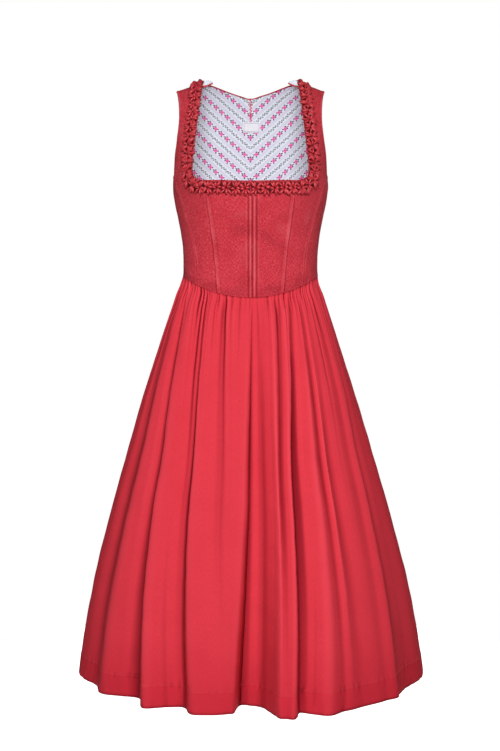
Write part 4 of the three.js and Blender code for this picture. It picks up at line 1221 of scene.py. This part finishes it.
skirt = {
    "hemHeight": -1202,
    "seamGap": 0.7,
    "waistInset": 1.0,      # how far inside the bodice's surface the cloth starts
    "flareShare": 0.05,     # the share of the height in which it reaches its own outline
    # rows that go up under the bodice's edge: rise above the seam, and depth inside the surface
    "tucked": ((9, 3.2), (5, 1.8), (2, 0.7)),
    # height and half width of the skirt's outline
    "outline": [(-388, 136.9), (-435, 152.7), (-484, 170), (-533, 186.6), (-606, 211), (-704, 240),
                (-801, 267.5), (-899, 294), (-997, 319), (-1094, 339), (-1168, 351.6), (-1202, 357)],
    "hem": {"half": 357, "front": 312, "back": 326},
    "waist": {"half": 143, "front": 102, "back": 85},
    # each ridge and trough that runs down the skirt, in order round the body: its turns at the waist,
    # half way down and at the hem, then how far it stands out (+) or in (-) at those three places
    "folds": [
        ("seam", (-90, -90, -90), (0, 0, 0)),
        ("ridge", (-83, -80, -80), (0, -3, -12)),
        ("trough", (-78, -73, -71), (-1, -14, -27)),
        ("edge", (-72, -64, -61.4), (0, -2, -13)),
        ("slope", (-68, -58, -55), (-1, -10, -31)),
        ("trough", (-66, -52, -48), (-3, -24, -46)),
        ("edge", (-62, -47, -38.6), (0, 3, -3)),
        ("slope", (-54, -39, -32), (-1, -8, -30)),
        ("trough", (-44, -33, -26.3), (-4, -20, -39)),
        ("edge", (-40, -28.5, -20.8), (0, 2, -6)),
        ("panel", (-34, -22, -14), (0, -1, -9)),
        ("trough", (-28, -16.5, -10.5), (-6, -5, -14)),
        ("panel", (-20, -11, -8.2), (0, -1, -19)),
        ("edge", (-3, -3.2, -6.1), (0, 0, -26)),
        ("seam", (1.8, -0.6, -4.6), (-1, -19, -74)),
        ("trough", (4, 2.6, 0.6), (0, -23, -71)),
        ("trough", (9, 7, 4.6), (-1, -23, -60)),
        ("slope", (14, 10.6, 7.2), (0, -8, -28)),
        ("ridge", (20, 13, 9.2), (0, 4, 5)),
        ("trough", (27, 15.6, 11.5), (-5, -6, 11)),
        ("edge", (34, 19.4, 14.3), (0, 5, 15)),
        ("trough", (38, 22.6, 17.8), (-5, -17, -19)),
        ("slope", (41, 28, 21), (-1, -9, -7)),
        ("ridge", (44, 33, 26), (0, 2, 14)),
        ("trough", (47, 37.5, 32.5), (-4, -7, 1)),
        ("ridge", (50.5, 39.7, 36.5), (0, 2, -1)),
        ("trough", (54, 42.5, 41), (-4, -5, -5)),
        ("ridge", (58, 49, 48), (0, 2, -4)),
        ("trough", (63, 55, 52), (-4, -2, -4)),
        ("edge", (71, 59.5, 56.5), (0, 3, 0)),
        ("trough", (77, 63.5, 61), (-4, -10, -11)),
        ("slope", (82, 71, 69), (-1, -7, -18)),
        ("ridge", (86, 80, 79), (0, -2, -7)),
        ("seam", (90, 90, 90), (0, 0, 0)),
        ("slope", (96, 98, 98), (-1, -6, -14)),
        ("trough", (102, 105, 106), (-3, -14, -30)),
        ("edge", (106, 110, 112), (0, 1, -2)),
        ("slope", (114, 119, 121), (-2, -10, -26)),
        ("trough", (121, 127, 130), (-4, -20, -46)),
        ("edge", (125, 131, 135), (0, 3, 2)),
        ("slope", (133, 140, 143), (-1, -4, -12)),
        ("trough", (139, 146, 149), (-4, -12, -30)),
        ("ridge", (144, 151, 155), (0, 3, 8)),
        ("slope", (150, 157, 160), (-2, -6, -14)),
        ("trough", (156, 162, 165), (-4, -22, -52)),
        ("edge", (161, 166, 169), (0, 3, 0)),
        ("panel", (168, 172, 173.5), (-1, -3, -6)),
        ("trough", (175, 177, 178), (-3, -16, -42)),
        ("seam", (180, 180, 180.5), (-1, -19, -50)),
        ("edge", (184, 184, 184.6), (0, 2, -6)),
        ("panel", (191, 190.5, 191), (-1, -4, -12)),
        ("trough", (197, 197, 198), (-4, -18, -50)),
        ("edge", (202, 202, 203), (0, 3, 6)),
        ("slope", (209, 209, 210), (-2, -6, -16)),
        ("trough", (214, 215, 217), (-4, -14, -34)),
        ("ridge", (219, 221, 223), (0, 3, 2)),
        ("slope", (226, 228, 230), (-1, -8, -22)),
        ("trough", (232, 234, 236), (-4, -20, -48)),
        ("edge", (237, 239, 240.5), (0, 2, 2)),
        ("slope", (245, 246, 247), (-2, -8, -18)),
        ("trough", (251, 252, 253), (-3, -14, -34)),
        ("edge", (256, 257, 258), (0, 0, -4)),
        ("slope", (263, 264, 264), (-1, -4, -10)),
    ],
    "columns": 720,
    "rows": 150,
    "wall": 1.1,
    "hemWall": 2.0,
    "hemBand": 40,
}

gathers = {
    # fine: close narrow tucks at the waist seam; long: fewer, wider ones that run on into the folds
    "short": {"apart": 6.4, "wide": 1.0, "deep": 3.6, "run": 0.05, "seed": 8},
    "fine": {"apart": 5.4, "wide": 1.3, "deep": 3.4, "run": 0.10, "seed": 5},
    "middle": {"apart": 11.5, "wide": 2.0, "deep": 4.2, "run": 0.26, "seed": 6},
    "long": {"apart": 25, "wide": 2.8, "deep": 5.5, "run": 0.50, "seed": 7},
    # share of the full depth, at these distances from centre front round the waist
    "places": [-395, -300, -200, -150, -95, -55, -28, 0, 18, 40, 60, 120, 200, 300, 395],
    "shares": [1, 1, 1, 1, 1, 0.85, 0.28, 0.18, 0.25, 0.7, 0.95, 1, 1, 1, 1],
}


def downCurve(values, down):
    top, middle, low = values
    early = top + (middle - top) * (1 - (1 - np.minimum(down * 2, 1)) ** 1.6)
    late = middle + (low - middle) * np.maximum((down - 0.5) * 2, 0) ** 1.15
    return np.where(down <= 0.5, early, late)


def skirtReach(turn, height, down):
    heights, halves = np.array(skirt["outline"], float).T
    places = np.linspace(0, len(heights) - 1, 900)
    half = np.interp(-height, -readColumn(heights, places), readColumn(halves, places))
    hem, waist = skirt["hem"], skirt["waist"]
    share = (half - waist["half"]) / (hem["half"] - waist["half"])
    forward = np.cos(np.radians(turn))
    depth = np.where(forward > 0, waist["front"] + (hem["front"] - waist["front"]) * share,
                     waist["back"] + (hem["back"] - waist["back"]) * share)
    square = 2.4 - 0.4 * np.minimum(down * 2.5, 1)
    sine = np.abs(np.sin(np.radians(turn)))
    return ((sine / half) ** square + (np.abs(forward) / depth) ** square) ** (-1 / square)


def waistTowards(direction):
    turns = np.linspace(-100, 275, 3000)
    points = bodicePoint(waistSpot(turns))
    angles = np.degrees(np.unwrap(np.arctan2(points[:, 0], -points[:, 1])))
    return np.stack([np.interp(direction, angles, points[:, k]) for k in range(3)], axis=-1)


def skirtColumns():
    # places round the skirt in units of folds, spread by the widths at the waist and at the hem
    folds = skirt["folds"]
    count = len(folds)
    firstAgain = folds[0][1][0] + 360.0
    hem = np.array([f[1][2] for f in folds] + [firstAgain])
    waist = np.array([f[1][0] for f in folds] + [firstAgain])
    weight = 0.5 * np.diff(hem) / 360 + 0.5 * np.diff(waist) / 360
    parts = np.maximum(3, np.round(weight * skirt["columns"]).astype(int))
    return np.concatenate([i + np.arange(parts[i]) / parts[i] for i in range(count)])


def skirtGrid(places, downs):
    folds = skirt["folds"]
    count = len(folds)
    down = downs[:, None]
    turn = np.stack([downCurve(f[1], downs) for f in folds], axis=1)
    stand = np.stack([downCurve(f[2], downs) for f in folds], axis=1)
    seam = waistTowards(turn)
    foot = seam[..., 2] - skirt["seamGap"]
    height = foot + (skirt["hemHeight"] - foot) * down
    close = np.hypot(seam[..., 0], seam[..., 1]) - skirt["waistInset"]
    reach = skirtReach(turn, height, down) + stand
    opened = np.minimum(down / skirt["flareShare"], 1)
    reach = close + (reach - close) * np.sin(opened * math.pi / 2)
    angle = np.radians(turn)
    keys = np.stack([reach * np.sin(angle), -reach * np.cos(angle), height], axis=-1)
    i = np.floor(places).astype(int)
    t = (places - i)[None, :, None]
    near = [keys[:, (i + k) % count] for k in (-1, 0, 1, 2)]
    points = through(*near, t)
    points[..., 2] = near[1][..., 2] + (near[2][..., 2] - near[1][..., 2]) * t[..., 0]
    return points


def ringNormals(points):
    along = np.roll(points, -1, axis=1) - np.roll(points, 1, axis=1)
    down = np.gradient(points, axis=0)
    normal = unit(np.cross(down, along))
    outward = np.sum(normal[..., :2] * points[..., :2], axis=-1)
    return normal * np.where(outward.mean() < 0, -1, 1)


def ringMean(values, reach):
    # the mean of each value and its neighbours up to reach columns away on both sides
    return sum(np.roll(values, k, axis=1) for k in range(-reach, reach + 1)) / (2 * reach + 1)


def tuckPlaces(plan, around):
    # uneven places of the tucks round the waist, each with its own depth, width, run and steep side
    draw = np.random.default_rng(plan["seed"])
    place, tucks = -around / 2, []
    while place < around / 2 - plan["apart"] * 0.6:
        tucks.append((place, *draw.uniform((0.45, 0.75, 0.4, -1), (1.25, 1.35, 1.7, 1))))
        place += plan["apart"] * draw.uniform(0.45, 1.75)
    return tucks


def gatherForm(waistRun, around, downs):
    # how far the gathers take the cloth in (-) at each row and column
    total = np.zeros((len(downs), len(waistRun)))
    share = np.interp(waistRun, gathers["places"], gathers["shares"])
    for name in ("short", "fine", "middle", "long"):
        plan = gathers[name]
        layer = np.zeros_like(total)
        for place, deep, wide, run, side in tuckPlaces(plan, around):
            off = (waistRun - place + around / 2) % around - around / 2
            near = np.abs(off) < plan["wide"] * wide * 16
            fade = np.exp(-(downs / (plan["run"] * run)) ** 1.6)
            spread = plan["wide"] * wide * (1 + 1.2 * downs / (downs + 0.2))
            lean = np.where(off[near] * side > 0, 1.9, 0.65)      # one side falls off steeply
            soft = np.sqrt(off[near][None, :] ** 2 + 0.3) / (spread[:, None] * lean[None, :])
            layer[:, near] -= plan["deep"] * deep * fade[:, None] * np.exp(-soft)
        total += layer - layer.mean(axis=1, keepdims=True) * 0.8
    start = 0.50 + 0.50 * smoothRise(downs / 0.015)
    return total * share[None, :] * start[:, None]


skirtSheets = {
    "skirt_front_right": {"flat": (0.580, 0.830), "area": 0.347, "hangsFrom": "front_centre_right_cloth"},
    "skirt_front_left": {"flat": (0.630, 0.830), "area": 0.354, "hangsFrom": "front_centre_left_cloth"},
    "skirt_back_left": {"flat": (0.700, 0.850), "area": 0.381, "hangsFrom": "back_centre_cloth"},
    "skirt_back_right": {"flat": (0.690, 0.850), "area": 0.383, "hangsFrom": "back_centre_cloth"},
}
hemGuides = []


def heightOnCloth(points):
    # how far each point lies from the hem, over the cloth
    down = lengths(points, 0)
    return down[-1:] - down


def addSoftForm(form, points, down):
    # unevenness all over, and the turned-up hem: its stitched groove, its puckers and its edge
    hemRun = np.cumsum(np.linalg.norm(np.roll(points[-1], -1, axis=0) - points[-1], axis=1))[None, :]
    fromHem, band = heightOnCloth(points), skirt["hemBand"]
    ease = smoothRise(down / 0.12)
    form += ease * 0.9 * waver(hemRun, fromHem * 0.35, 61, 170)
    form += ease * 0.35 * waver(hemRun, fromHem * 0.5, 62, 46)
    pucker = np.exp(-((fromHem - band) / 9) ** 2)
    form += groove(fromHem, band, 1.6, 0.7) + 0.45 * pucker * waver(hemRun, fromHem * 0.2, 63, 15)
    form += np.where(fromHem < band, 0.4, 0) * smoothRise((band - fromHem) / 3)
    form += 0.5 * smoothRise(1 - fromHem / 25) * waver(hemRun, fromHem, 64, 34)
    form += groove(fromHem, 0, 1.2, 0.5)
    return form


def skirtPaintedShade(points, fromHem):
    # painted shade and painted highlight for the material: how deep each point lies between its neighbours,
    # near by and further off, in the hem's puckers and at the seams, weaker near the hem and stronger just
    # under the waist
    reach = np.hypot(points[..., 0], points[..., 1])
    heights, hem = points[..., 2], skirt["hemHeight"]
    hollow = np.clip((ringMean(reach, 3) - reach) / 1.1, -1, 1) * 0.75
    hollow += np.clip((ringMean(reach, 16) - reach) / 9, -1, 1) * 0.2
    hollow *= np.interp(heights, (hem, -700, -520, -440), (0.35, 1.0, 1.0, 1.35))
    sharp = np.clip((ringMean(reach, 1) - reach) / 0.8, 0, 1)
    hollow += sharp * np.interp(heights, (hem, -620), (0.5, 0.1))
    columns = np.arange(points.shape[1])[None, :]
    # painted shade in the puckers along the hem's stitching
    puckered = 0.3 + 0.7 * waver(fromHem * 0.6, columns * 3.6, 65, 13)
    hollow += 0.24 * puckered * np.exp(-((fromHem - skirt["hemBand"]) / 3.6) ** 2)
    fromWaist = lengths(points[2:], 0)
    hollow[2:] += 0.9 * np.exp(-(fromWaist / 3.2) ** 2)      # the seam's own shade
    return np.clip(hollow, -1, 1)


def makeSkirt():
    places = skirtColumns()
    downs = np.linspace(0, 1, skirt["rows"]) ** 1.3
    points = skirtGrid(places, downs)
    normals = ringNormals(points)
    waistPoints = points[0]
    step = np.linalg.norm(np.roll(waistPoints, -1, axis=0) - waistPoints, axis=1)
    around = step.sum()
    run = np.concatenate([[0], np.cumsum(step)[:-1]])
    folds = skirt["folds"]
    front = next(i for i, f in enumerate(folds) if f[0] == "seam" and i > 0)
    run = (run - run[np.argmin(np.abs(places - front))] + around / 2) % around - around / 2

    form = gatherForm(run, around, downs)
    form = addSoftForm(form, points, downs[:, None])
    points = points + normals * form[..., None]

    tucked = []
    for rise, inset in skirt["tucked"]:
        row = waistPoints - normals[0] * inset
        row[:, 2] = waistPoints[:, 2] + rise
        tucked.append(row)
    points = np.concatenate([np.array(tucked), points])
    normals = ringNormals(points)
    fromHem = heightOnCloth(points)
    wall = skirt["wall"] + (skirt["hemWall"] - skirt["wall"]) * smoothRise((skirt["hemBand"] - fromHem) / 2)
    inner = points - normals * wall[..., None]
    hollow = skirtPaintedShade(points, fromHem)

    count = len(places)
    seams = [int(np.argmin(np.abs(places - i))) for i, f in enumerate(folds) if f[0] == "seam"]
    seams.append(seams[0] + count)
    for k, (name, sheet) in enumerate(skirtSheets.items()):
        end = seams[k + 1]
        columns = np.arange(seams[k], end + 1) % count
        outside, inside = points[:, columns], inner[:, columns]
        across = lengths(outside, 1)
        across = across - across[:, -1:] / 2
        uv = np.stack([across, fromHem[:, columns]], axis=-1)
        made = clothWall(f"{name}_cloth", outside, inside, uv, hollow[:, columns])
        dress(made, cotton, "skirt_cloth", name)
        rowAt = int(np.argmin(np.abs(fromHem[:, columns].mean(axis=1) - skirt["hemBand"])))
        hemGuides.append((name, points[rowAt, columns], normals[rowAt, columns]))


makeSkirt()
print("skirt made")

# Neckline: ruched band, corded edges


def frontNeckSpots(count):
    # along the neckline's left half, from centre front to the shoulder
    footShare = 0.27
    at = np.linspace(0, 1, count)
    foot = neckFootSpot(np.clip(at / footShare, 0.01, 1))
    up = endAtShoulder(edgeLine("frontNeck"))(0.5 + 0.492 * np.clip((at - footShare) / (1 - footShare), 0, 1))
    spots = np.where((at < footShare)[:, None], foot, up)
    points = bodicePoint(spots)
    run = np.concatenate([[0], np.cumsum(np.linalg.norm(np.diff(points, axis=0), axis=1))])
    even = np.linspace(0, run[-1], count)
    return np.stack([np.interp(even, run, spots[:, k]) for k in (0, 1)], axis=-1)


def acrossLine(spots):
    points = bodicePoint(spots)
    return unit(np.cross(unit(np.gradient(points, axis=0)), bodiceNormal(spots)))


ruching = {
    "from": 0.8,
    "width": 27,
    "bandThick": 0.9,
    "clear": 0.6,
    "bandShare": 0.78,
    "tacks": 21,
    "firstPoint": 4,        # the tack line starts this many points from centre front
    "slanting": 0.0163,
    "square": 0.0146,
    "along": 0.0096,
    "foldWidth": 0.0061,
    "rise": 0.0062,
    "uneven": 0.24,
    # along the line from centre front (0) to the shoulder (1): how far the band lies over the corded
    # edge, and the folds' reach as a share of their length
    "places": [0, 0.22, 0.34, 0.43, 0.62, 0.78, 1],
    "over": [1.8, 1.9, 2.4, 4.2, 5, 5.4, 4.2],
    "reach": [1.08, 1.08, 1.18, 1.3, 1.15, 1.1, 0.98],
}


def makeTrim():
    spots = frontNeckSpots(150)
    across = acrossLine(spots)
    shares = np.linspace(0, 1, 13)
    inset = (1 - ruching["bandShare"]) / 2
    run = np.linspace(0, 1, len(spots))
    begin = ruching["from"] - np.interp(run, ruching["places"], ruching["over"])[:, None]
    reach = np.interp(run, ruching["places"], ruching["reach"])
    grid = np.stack([walkOver(spots, across, begin + ruching["width"] * (
        inset + ruching["bandShare"] * s)) for s in shares], axis=1)
    middle = walkOver(spots, across, begin + ruching["width"] / 2)
    for side, sign in bothSides:
        there = grid * [sign, 1]
        place, normal = bodicePoint(there), bodiceNormal(there)
        crown = ruching["bandThick"] * (0.55 + 0.45 * np.sin(math.pi * shares))[None, :, None]
        foot = place + normal * ruching["clear"]
        band = clothWall(f"trim_{side}_band", foot + normal * crown, foot, place[..., [0, 2]])
        line = middle * [sign, 1]
        linePoint, lineNormal = bodicePoint(line), bodiceNormal(line)
        start = ruching["firstPoint"]
        tacked = linePoint + lineNormal * (ruching["clear"] + ruching["bandThick"])
        guide = guideLine("tackLine", tacked[start:], lineNormal[start:], reach[start:])
        folds = grown(guide, ruchedTree, {
            "Tacks": ruching["tacks"], "Slanting": ruching["slanting"], "Square": ruching["square"],
            "Along": ruching["along"], "Width": ruching["foldWidth"], "Rise": ruching["rise"],
            "Uneven": ruching["uneven"], "Seed": 3 if sign > 0 else 9, "Material": ribbon,
        }, f"trim_{side}_folds")
        faceOut(folds)
        flatFaces = len(band.data.polygons)
        joinInto(band, folds)
        band.name = f"trim_{side}_ruching"
        band.data.polygons.foreach_set("use_smooth", [True] * len(band.data.polygons))
        dress(band, ribbon, "trim_ribbon", f"trim_{side}")
        # the flat band under the folds takes the dark painted shade
        band.data.materials.append(ribbonPaintedShade)
        band.data.polygons.foreach_set("material_index", [
            int(i < flatFaces) for i in range(len(band.data.polygons))])


piping = {
    "radius": 1.6, "sides": 14,
    "restGap": -0.3,        # the cord is pressed this far into the cloth's edge
    "sunk": 0.3,            # its centre lies this far outside the front panels' middle
    "backShare": 0.984,     # how much of the back neckline has a cord, which is finer and lies deeper
    "backFiner": 0.5,
    "backSunk": 0.6,
}


def cordMesh(name, centres, normals, acrosses, radius):
    angle = np.linspace(0, 2 * math.pi, piping["sides"], endpoint=False)
    ring = acrosses[:, None] * np.cos(angle)[:, None] + normals[:, None] * np.sin(angle)[:, None]
    points = centres[:, None] + ring * radius
    rows, sides = points.shape[:2]
    index = np.arange(rows * sides).reshape(rows, sides)
    turned = np.roll(index, -1, axis=1)
    faces = np.stack([index[:-1], turned[:-1], turned[1:], index[1:]], axis=-1).reshape(-1, 4).tolist()
    faces += [index[0, ::-1].tolist(), index[-1].tolist()]
    made = newMesh(name, points.reshape(-1, 3), faces)
    return faceOut(made)


def tabCord(sign):
    # the cord goes on along the lower edge of the shoulder tab
    share = np.linspace(0, 1, 24)
    x = tab["inner"] + (tab["outer"] - tab["inner"]) * share
    z = tabFoot(share) - piping["radius"] * 0.8
    y = tabDepth(share)
    centres = np.stack([sign * x, y, z], axis=-1)
    along = unit(np.gradient(centres, axis=0))
    across = unit(np.cross(along, [0, 1, 0]))
    return cordMesh("tabCord", centres, np.cross(along, across), across, piping["radius"])


def makePiping():
    spots = frontNeckSpots(160)
    for side, sign in bothSides:
        here = spots * [sign, 1]
        across, normal = acrossLine(here) * sign, bodiceNormal(here)
        reach = piping["radius"] + piping["restGap"]
        centres = bodicePoint(here) - across * reach - normal * (cut["frontWall"] / 2 - piping["sunk"])
        made = cordMesh(f"neck_piping_{side}_cord", centres, normal, across, piping["radius"])
        joinInto(made, tabCord(sign))
        dress(made, cording, "piping_cord", f"neck_piping_{side}")
    x = body["shoulderNeck"] * piping["backShare"] * np.sin(np.linspace(-math.pi / 2, math.pi / 2, 90))
    spots = backNeckSpot(x)
    across, normal = acrossLine(spots), bodiceNormal(spots)
    away = piping["radius"] + piping["restGap"] - piping["backFiner"]
    centres = bodicePoint(spots) + across * away - normal * (cut["backWall"] / 2 + piping["backSunk"])
    made = cordMesh("neck_piping_back_cord", centres, normal, across, piping["radius"] - piping["backFiner"])
    dress(made, cording, "piping_cord", "neck_piping_back")


makeTrim()
makePiping()
print("neckline made")

# Label, bare, with a stitched border

label = {"left": -16, "right": 20, "top": -62, "bottom": -83, "wall": 0.6, "lift": -4.6, "border": 2.4}


def labelSpots(x, z):
    return bodiceSpot(np.where(np.abs(x) < offMiddle, offMiddle, x), z, True)


def makeLabel():
    x = np.linspace(label["left"], label["right"], 40)[None, :]
    z = np.linspace(label["bottom"], label["top"], 24)[:, None]
    x, z = np.broadcast_arrays(x, z)
    spots = labelSpots(x, z)
    place, normal = bodicePoint(spots), bodiceNormal(spots)
    edge = np.minimum(np.minimum(x - label["left"], label["right"] - x),
                      np.minimum(z - label["bottom"], label["top"] - z))
    swell = -groove(edge, 5, 3.5, 0.35) + groove(edge, label["border"], 0.5, 0.2)
    front = place + normal * (label["lift"] - label["wall"] - swell)[..., None]
    back = place + normal * label["lift"]
    made = clothWall("label_tape", back, front, np.stack([x, z], axis=-1))
    dress(made, tape, "label_tape", "label")


makeLabel()
print("label made")

# Stitching

stitching = {
    # distance, length and thickness of the stitches in metres
    "plain": (0.0032, 0.0024, 0.0006),
    "hem": (0.0036, 0.0026, 0.0006),
    "zigzag": (0.0031, 0.0068, 0.0020),
    "lining": (0.0022, 0.0021, 0.0004),
    "label": (0.0030, 0.0021, 0.0011),
    "zigzagSlant": math.radians(61),
    # rows beside the closed edges, on the wearer's left and right, and beside the princess seam
    "closing": {1: (2.2, 12.0), -1: (2.2, 10.8)},
    "princess": 9.6,
    # how high each row lies on the bodice's surface
    "onFront": -0.35,
    "onPrincess": -0.4,
    "onZigzag": -4.25,
    "onLining": -4.1,
    # the lining's side-back seam: x and z at both ends
    "liningSeam": ((112, -101), (60, -153)),
}


def stitchRow(name, points, outs, material, kind="plain", slant=0.0, seed=1):
    apart, length, thickness = stitching[kind]
    run = np.linalg.norm(np.diff(points, axis=0), axis=1).sum() * mm
    count = max(2, int(round(run / apart)))
    made = grown(guideLine("stitchLine", points, outs), stitchTree, {
        "Count": count, "Length": length, "Thickness": thickness, "Slant": slant, "Seed": seed,
        "Material": material}, name)
    faceOut(made)
    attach(made, "root")


def onBodice(spots, lift):
    return bodicePoint(spots) + bodiceNormal(spots) * lift


def stitchFront():
    # rows beside centre front and the princess seams
    foot, neck = waistHeight(0) + 2, edges["frontNeckCentre"] - 3
    z = np.linspace(foot, neck, 80)
    seam = fromWaist(edgeLine("princess"))(np.linspace(0.005, 0.495, 80))
    across, away = acrossLine(seam), stitching["princess"]
    inwards = bodicePoint(walkOver(seam, across, 5))[0, 0] < bodicePoint(seam)[0, 0]
    beside = walkOver(seam, across, away if inwards else -away)
    for side, sign in bothSides:
        for k, x in enumerate(stitching["closing"][sign]):
            spots = bodiceSpot(cut["closing"] + sign * x + 0 * z, z, False)
            stitchRow(f"front_stitches_{side}_{k}", onBodice(spots, stitching["onFront"]),
                      bodiceNormal(spots), redThread, seed=k + 2)
        spots = beside * [sign, 1]
        stitchRow(f"princess_stitches_{side}_0", onBodice(spots, stitching["onPrincess"]),
                  bodiceNormal(spots), redThread, seed=5)


def stitchHem():
    for name, points, normals in hemGuides:
        stitchRow(f"{name}_hem_stitches", points + normals * 0.1, normals, redThread, "hem")


def stitchLining():
    # a red zigzag down the centre back, from the neck to the label, and the thin side-back seams
    z = np.linspace(-17, label["top"] - 1, 40)
    spots = labelSpots(0.6 + 0 * z, z)
    stitchRow("lining_zigzag", onBodice(spots, stitching["onZigzag"]), -bodiceNormal(spots), zigzagThread,
              "zigzag", slant=stitching["zigzagSlant"])
    for side, sign in bothSides:
        x, z = np.linspace(*stitching["liningSeam"], 40).T
        spots = bodiceSpot(x, z, True)
        if sign < 0:
            spots = spots * [-1, 1]
        stitchRow(f"lining_seam_{side}", onBodice(spots, stitching["onLining"]), -bodiceNormal(spots),
                  greyThread, "lining")


def stitchLabel():
    inset = label["border"]
    left, right = label["left"] + inset, label["right"] - inset
    top, bottom = label["top"] - inset, label["bottom"] + inset
    corners = [(left, bottom), (right, bottom), (right, top), (left, top), (left, bottom)]
    x, z = np.concatenate([np.linspace(a, b, 20) for a, b in zip(corners, corners[1:])]).T
    keep = np.concatenate([[True], np.hypot(np.diff(x), np.diff(z)) > 1e-6])
    spots = labelSpots(x[keep], z[keep])
    points = onBodice(spots, label["lift"] - label["wall"] - 0.1)
    stitchRow("label_stitches", points, -bodiceNormal(spots), greyThread, "label")


stitchFront()
stitchHem()
stitchLining()
stitchLabel()
print("stitching made")

# Floor and light

room = {
    "floorHeight": -1.5,
    "floorRadius": 1.0,
    "floorBack": 0.75,
    "floorSides": 64,
    "lampAim": (0, 0, -0.65),
    "key": {"place": (0.0, -2.35, 0.0), "size": 1.0, "power": 57},
    "back": {"place": (0.4, 3.0, 0.4), "size": 1.8, "power": 62},
    "left": {"place": (3.0, 0.3, 0.2), "size": 1.5, "power": 7},
    "right": {"place": (-3.0, 0.3, 0.2), "size": 1.5, "power": 7},
    "ambient": 0.12,
}


def makeRoom():
    sides, radius = room["floorSides"], room["floorRadius"]
    angle = np.linspace(0, 2 * math.pi, sides, endpoint=False)
    points = np.stack([radius * np.cos(angle), radius * np.sin(angle) + room["floorBack"],
                       np.full(sides, room["floorHeight"])], axis=-1)
    floor = newMesh("floor", points / mm, [list(range(sides))], smooth=False)
    material, _, shader = newMaterial("paleFloor", 0.9)
    shader.inputs["Base Color"].default_value = (0.9, 0.9, 0.9, 1)
    shader.inputs["Emission Color"].default_value = (1, 1, 1, 1)
    shader.inputs["Emission Strength"].default_value = 0.95
    floor.data.materials.append(material)

    for name in ("key", "back", "left", "right"):
        plan = room[name]
        data = bpy.data.lights.new(name, "AREA")
        data.shape = "SQUARE"
        data.size = plan["size"]
        data.energy = plan["power"]
        lamp = addObject(name, data)
        lamp.location = plan["place"]
        lamp.rotation_euler = turnTowards(plan["place"], room["lampAim"])
        lamp.visible_camera = False

    world = bpy.data.worlds.new("studio")
    bpy.context.scene.world = world
    world.use_nodes = True
    tree = world.node_tree
    tree.nodes.clear()
    seen = addNode(tree, "ShaderNodeLightPath").outputs["Is Camera Ray"]
    strength = remap(tree, seen, 0, 1, room["ambient"], 1.0, soft=False)
    back = addNode(tree, "ShaderNodeBackground", {"Color": white, "Strength": strength})
    ends = addNode(tree, "ShaderNodeOutputWorld")
    tree.links.new(back.outputs[0], ends.inputs[0])
    settings = bpy.context.scene.view_settings
    settings.view_transform = "Standard"
    settings.look = "None"


makeRoom()
print("room made")
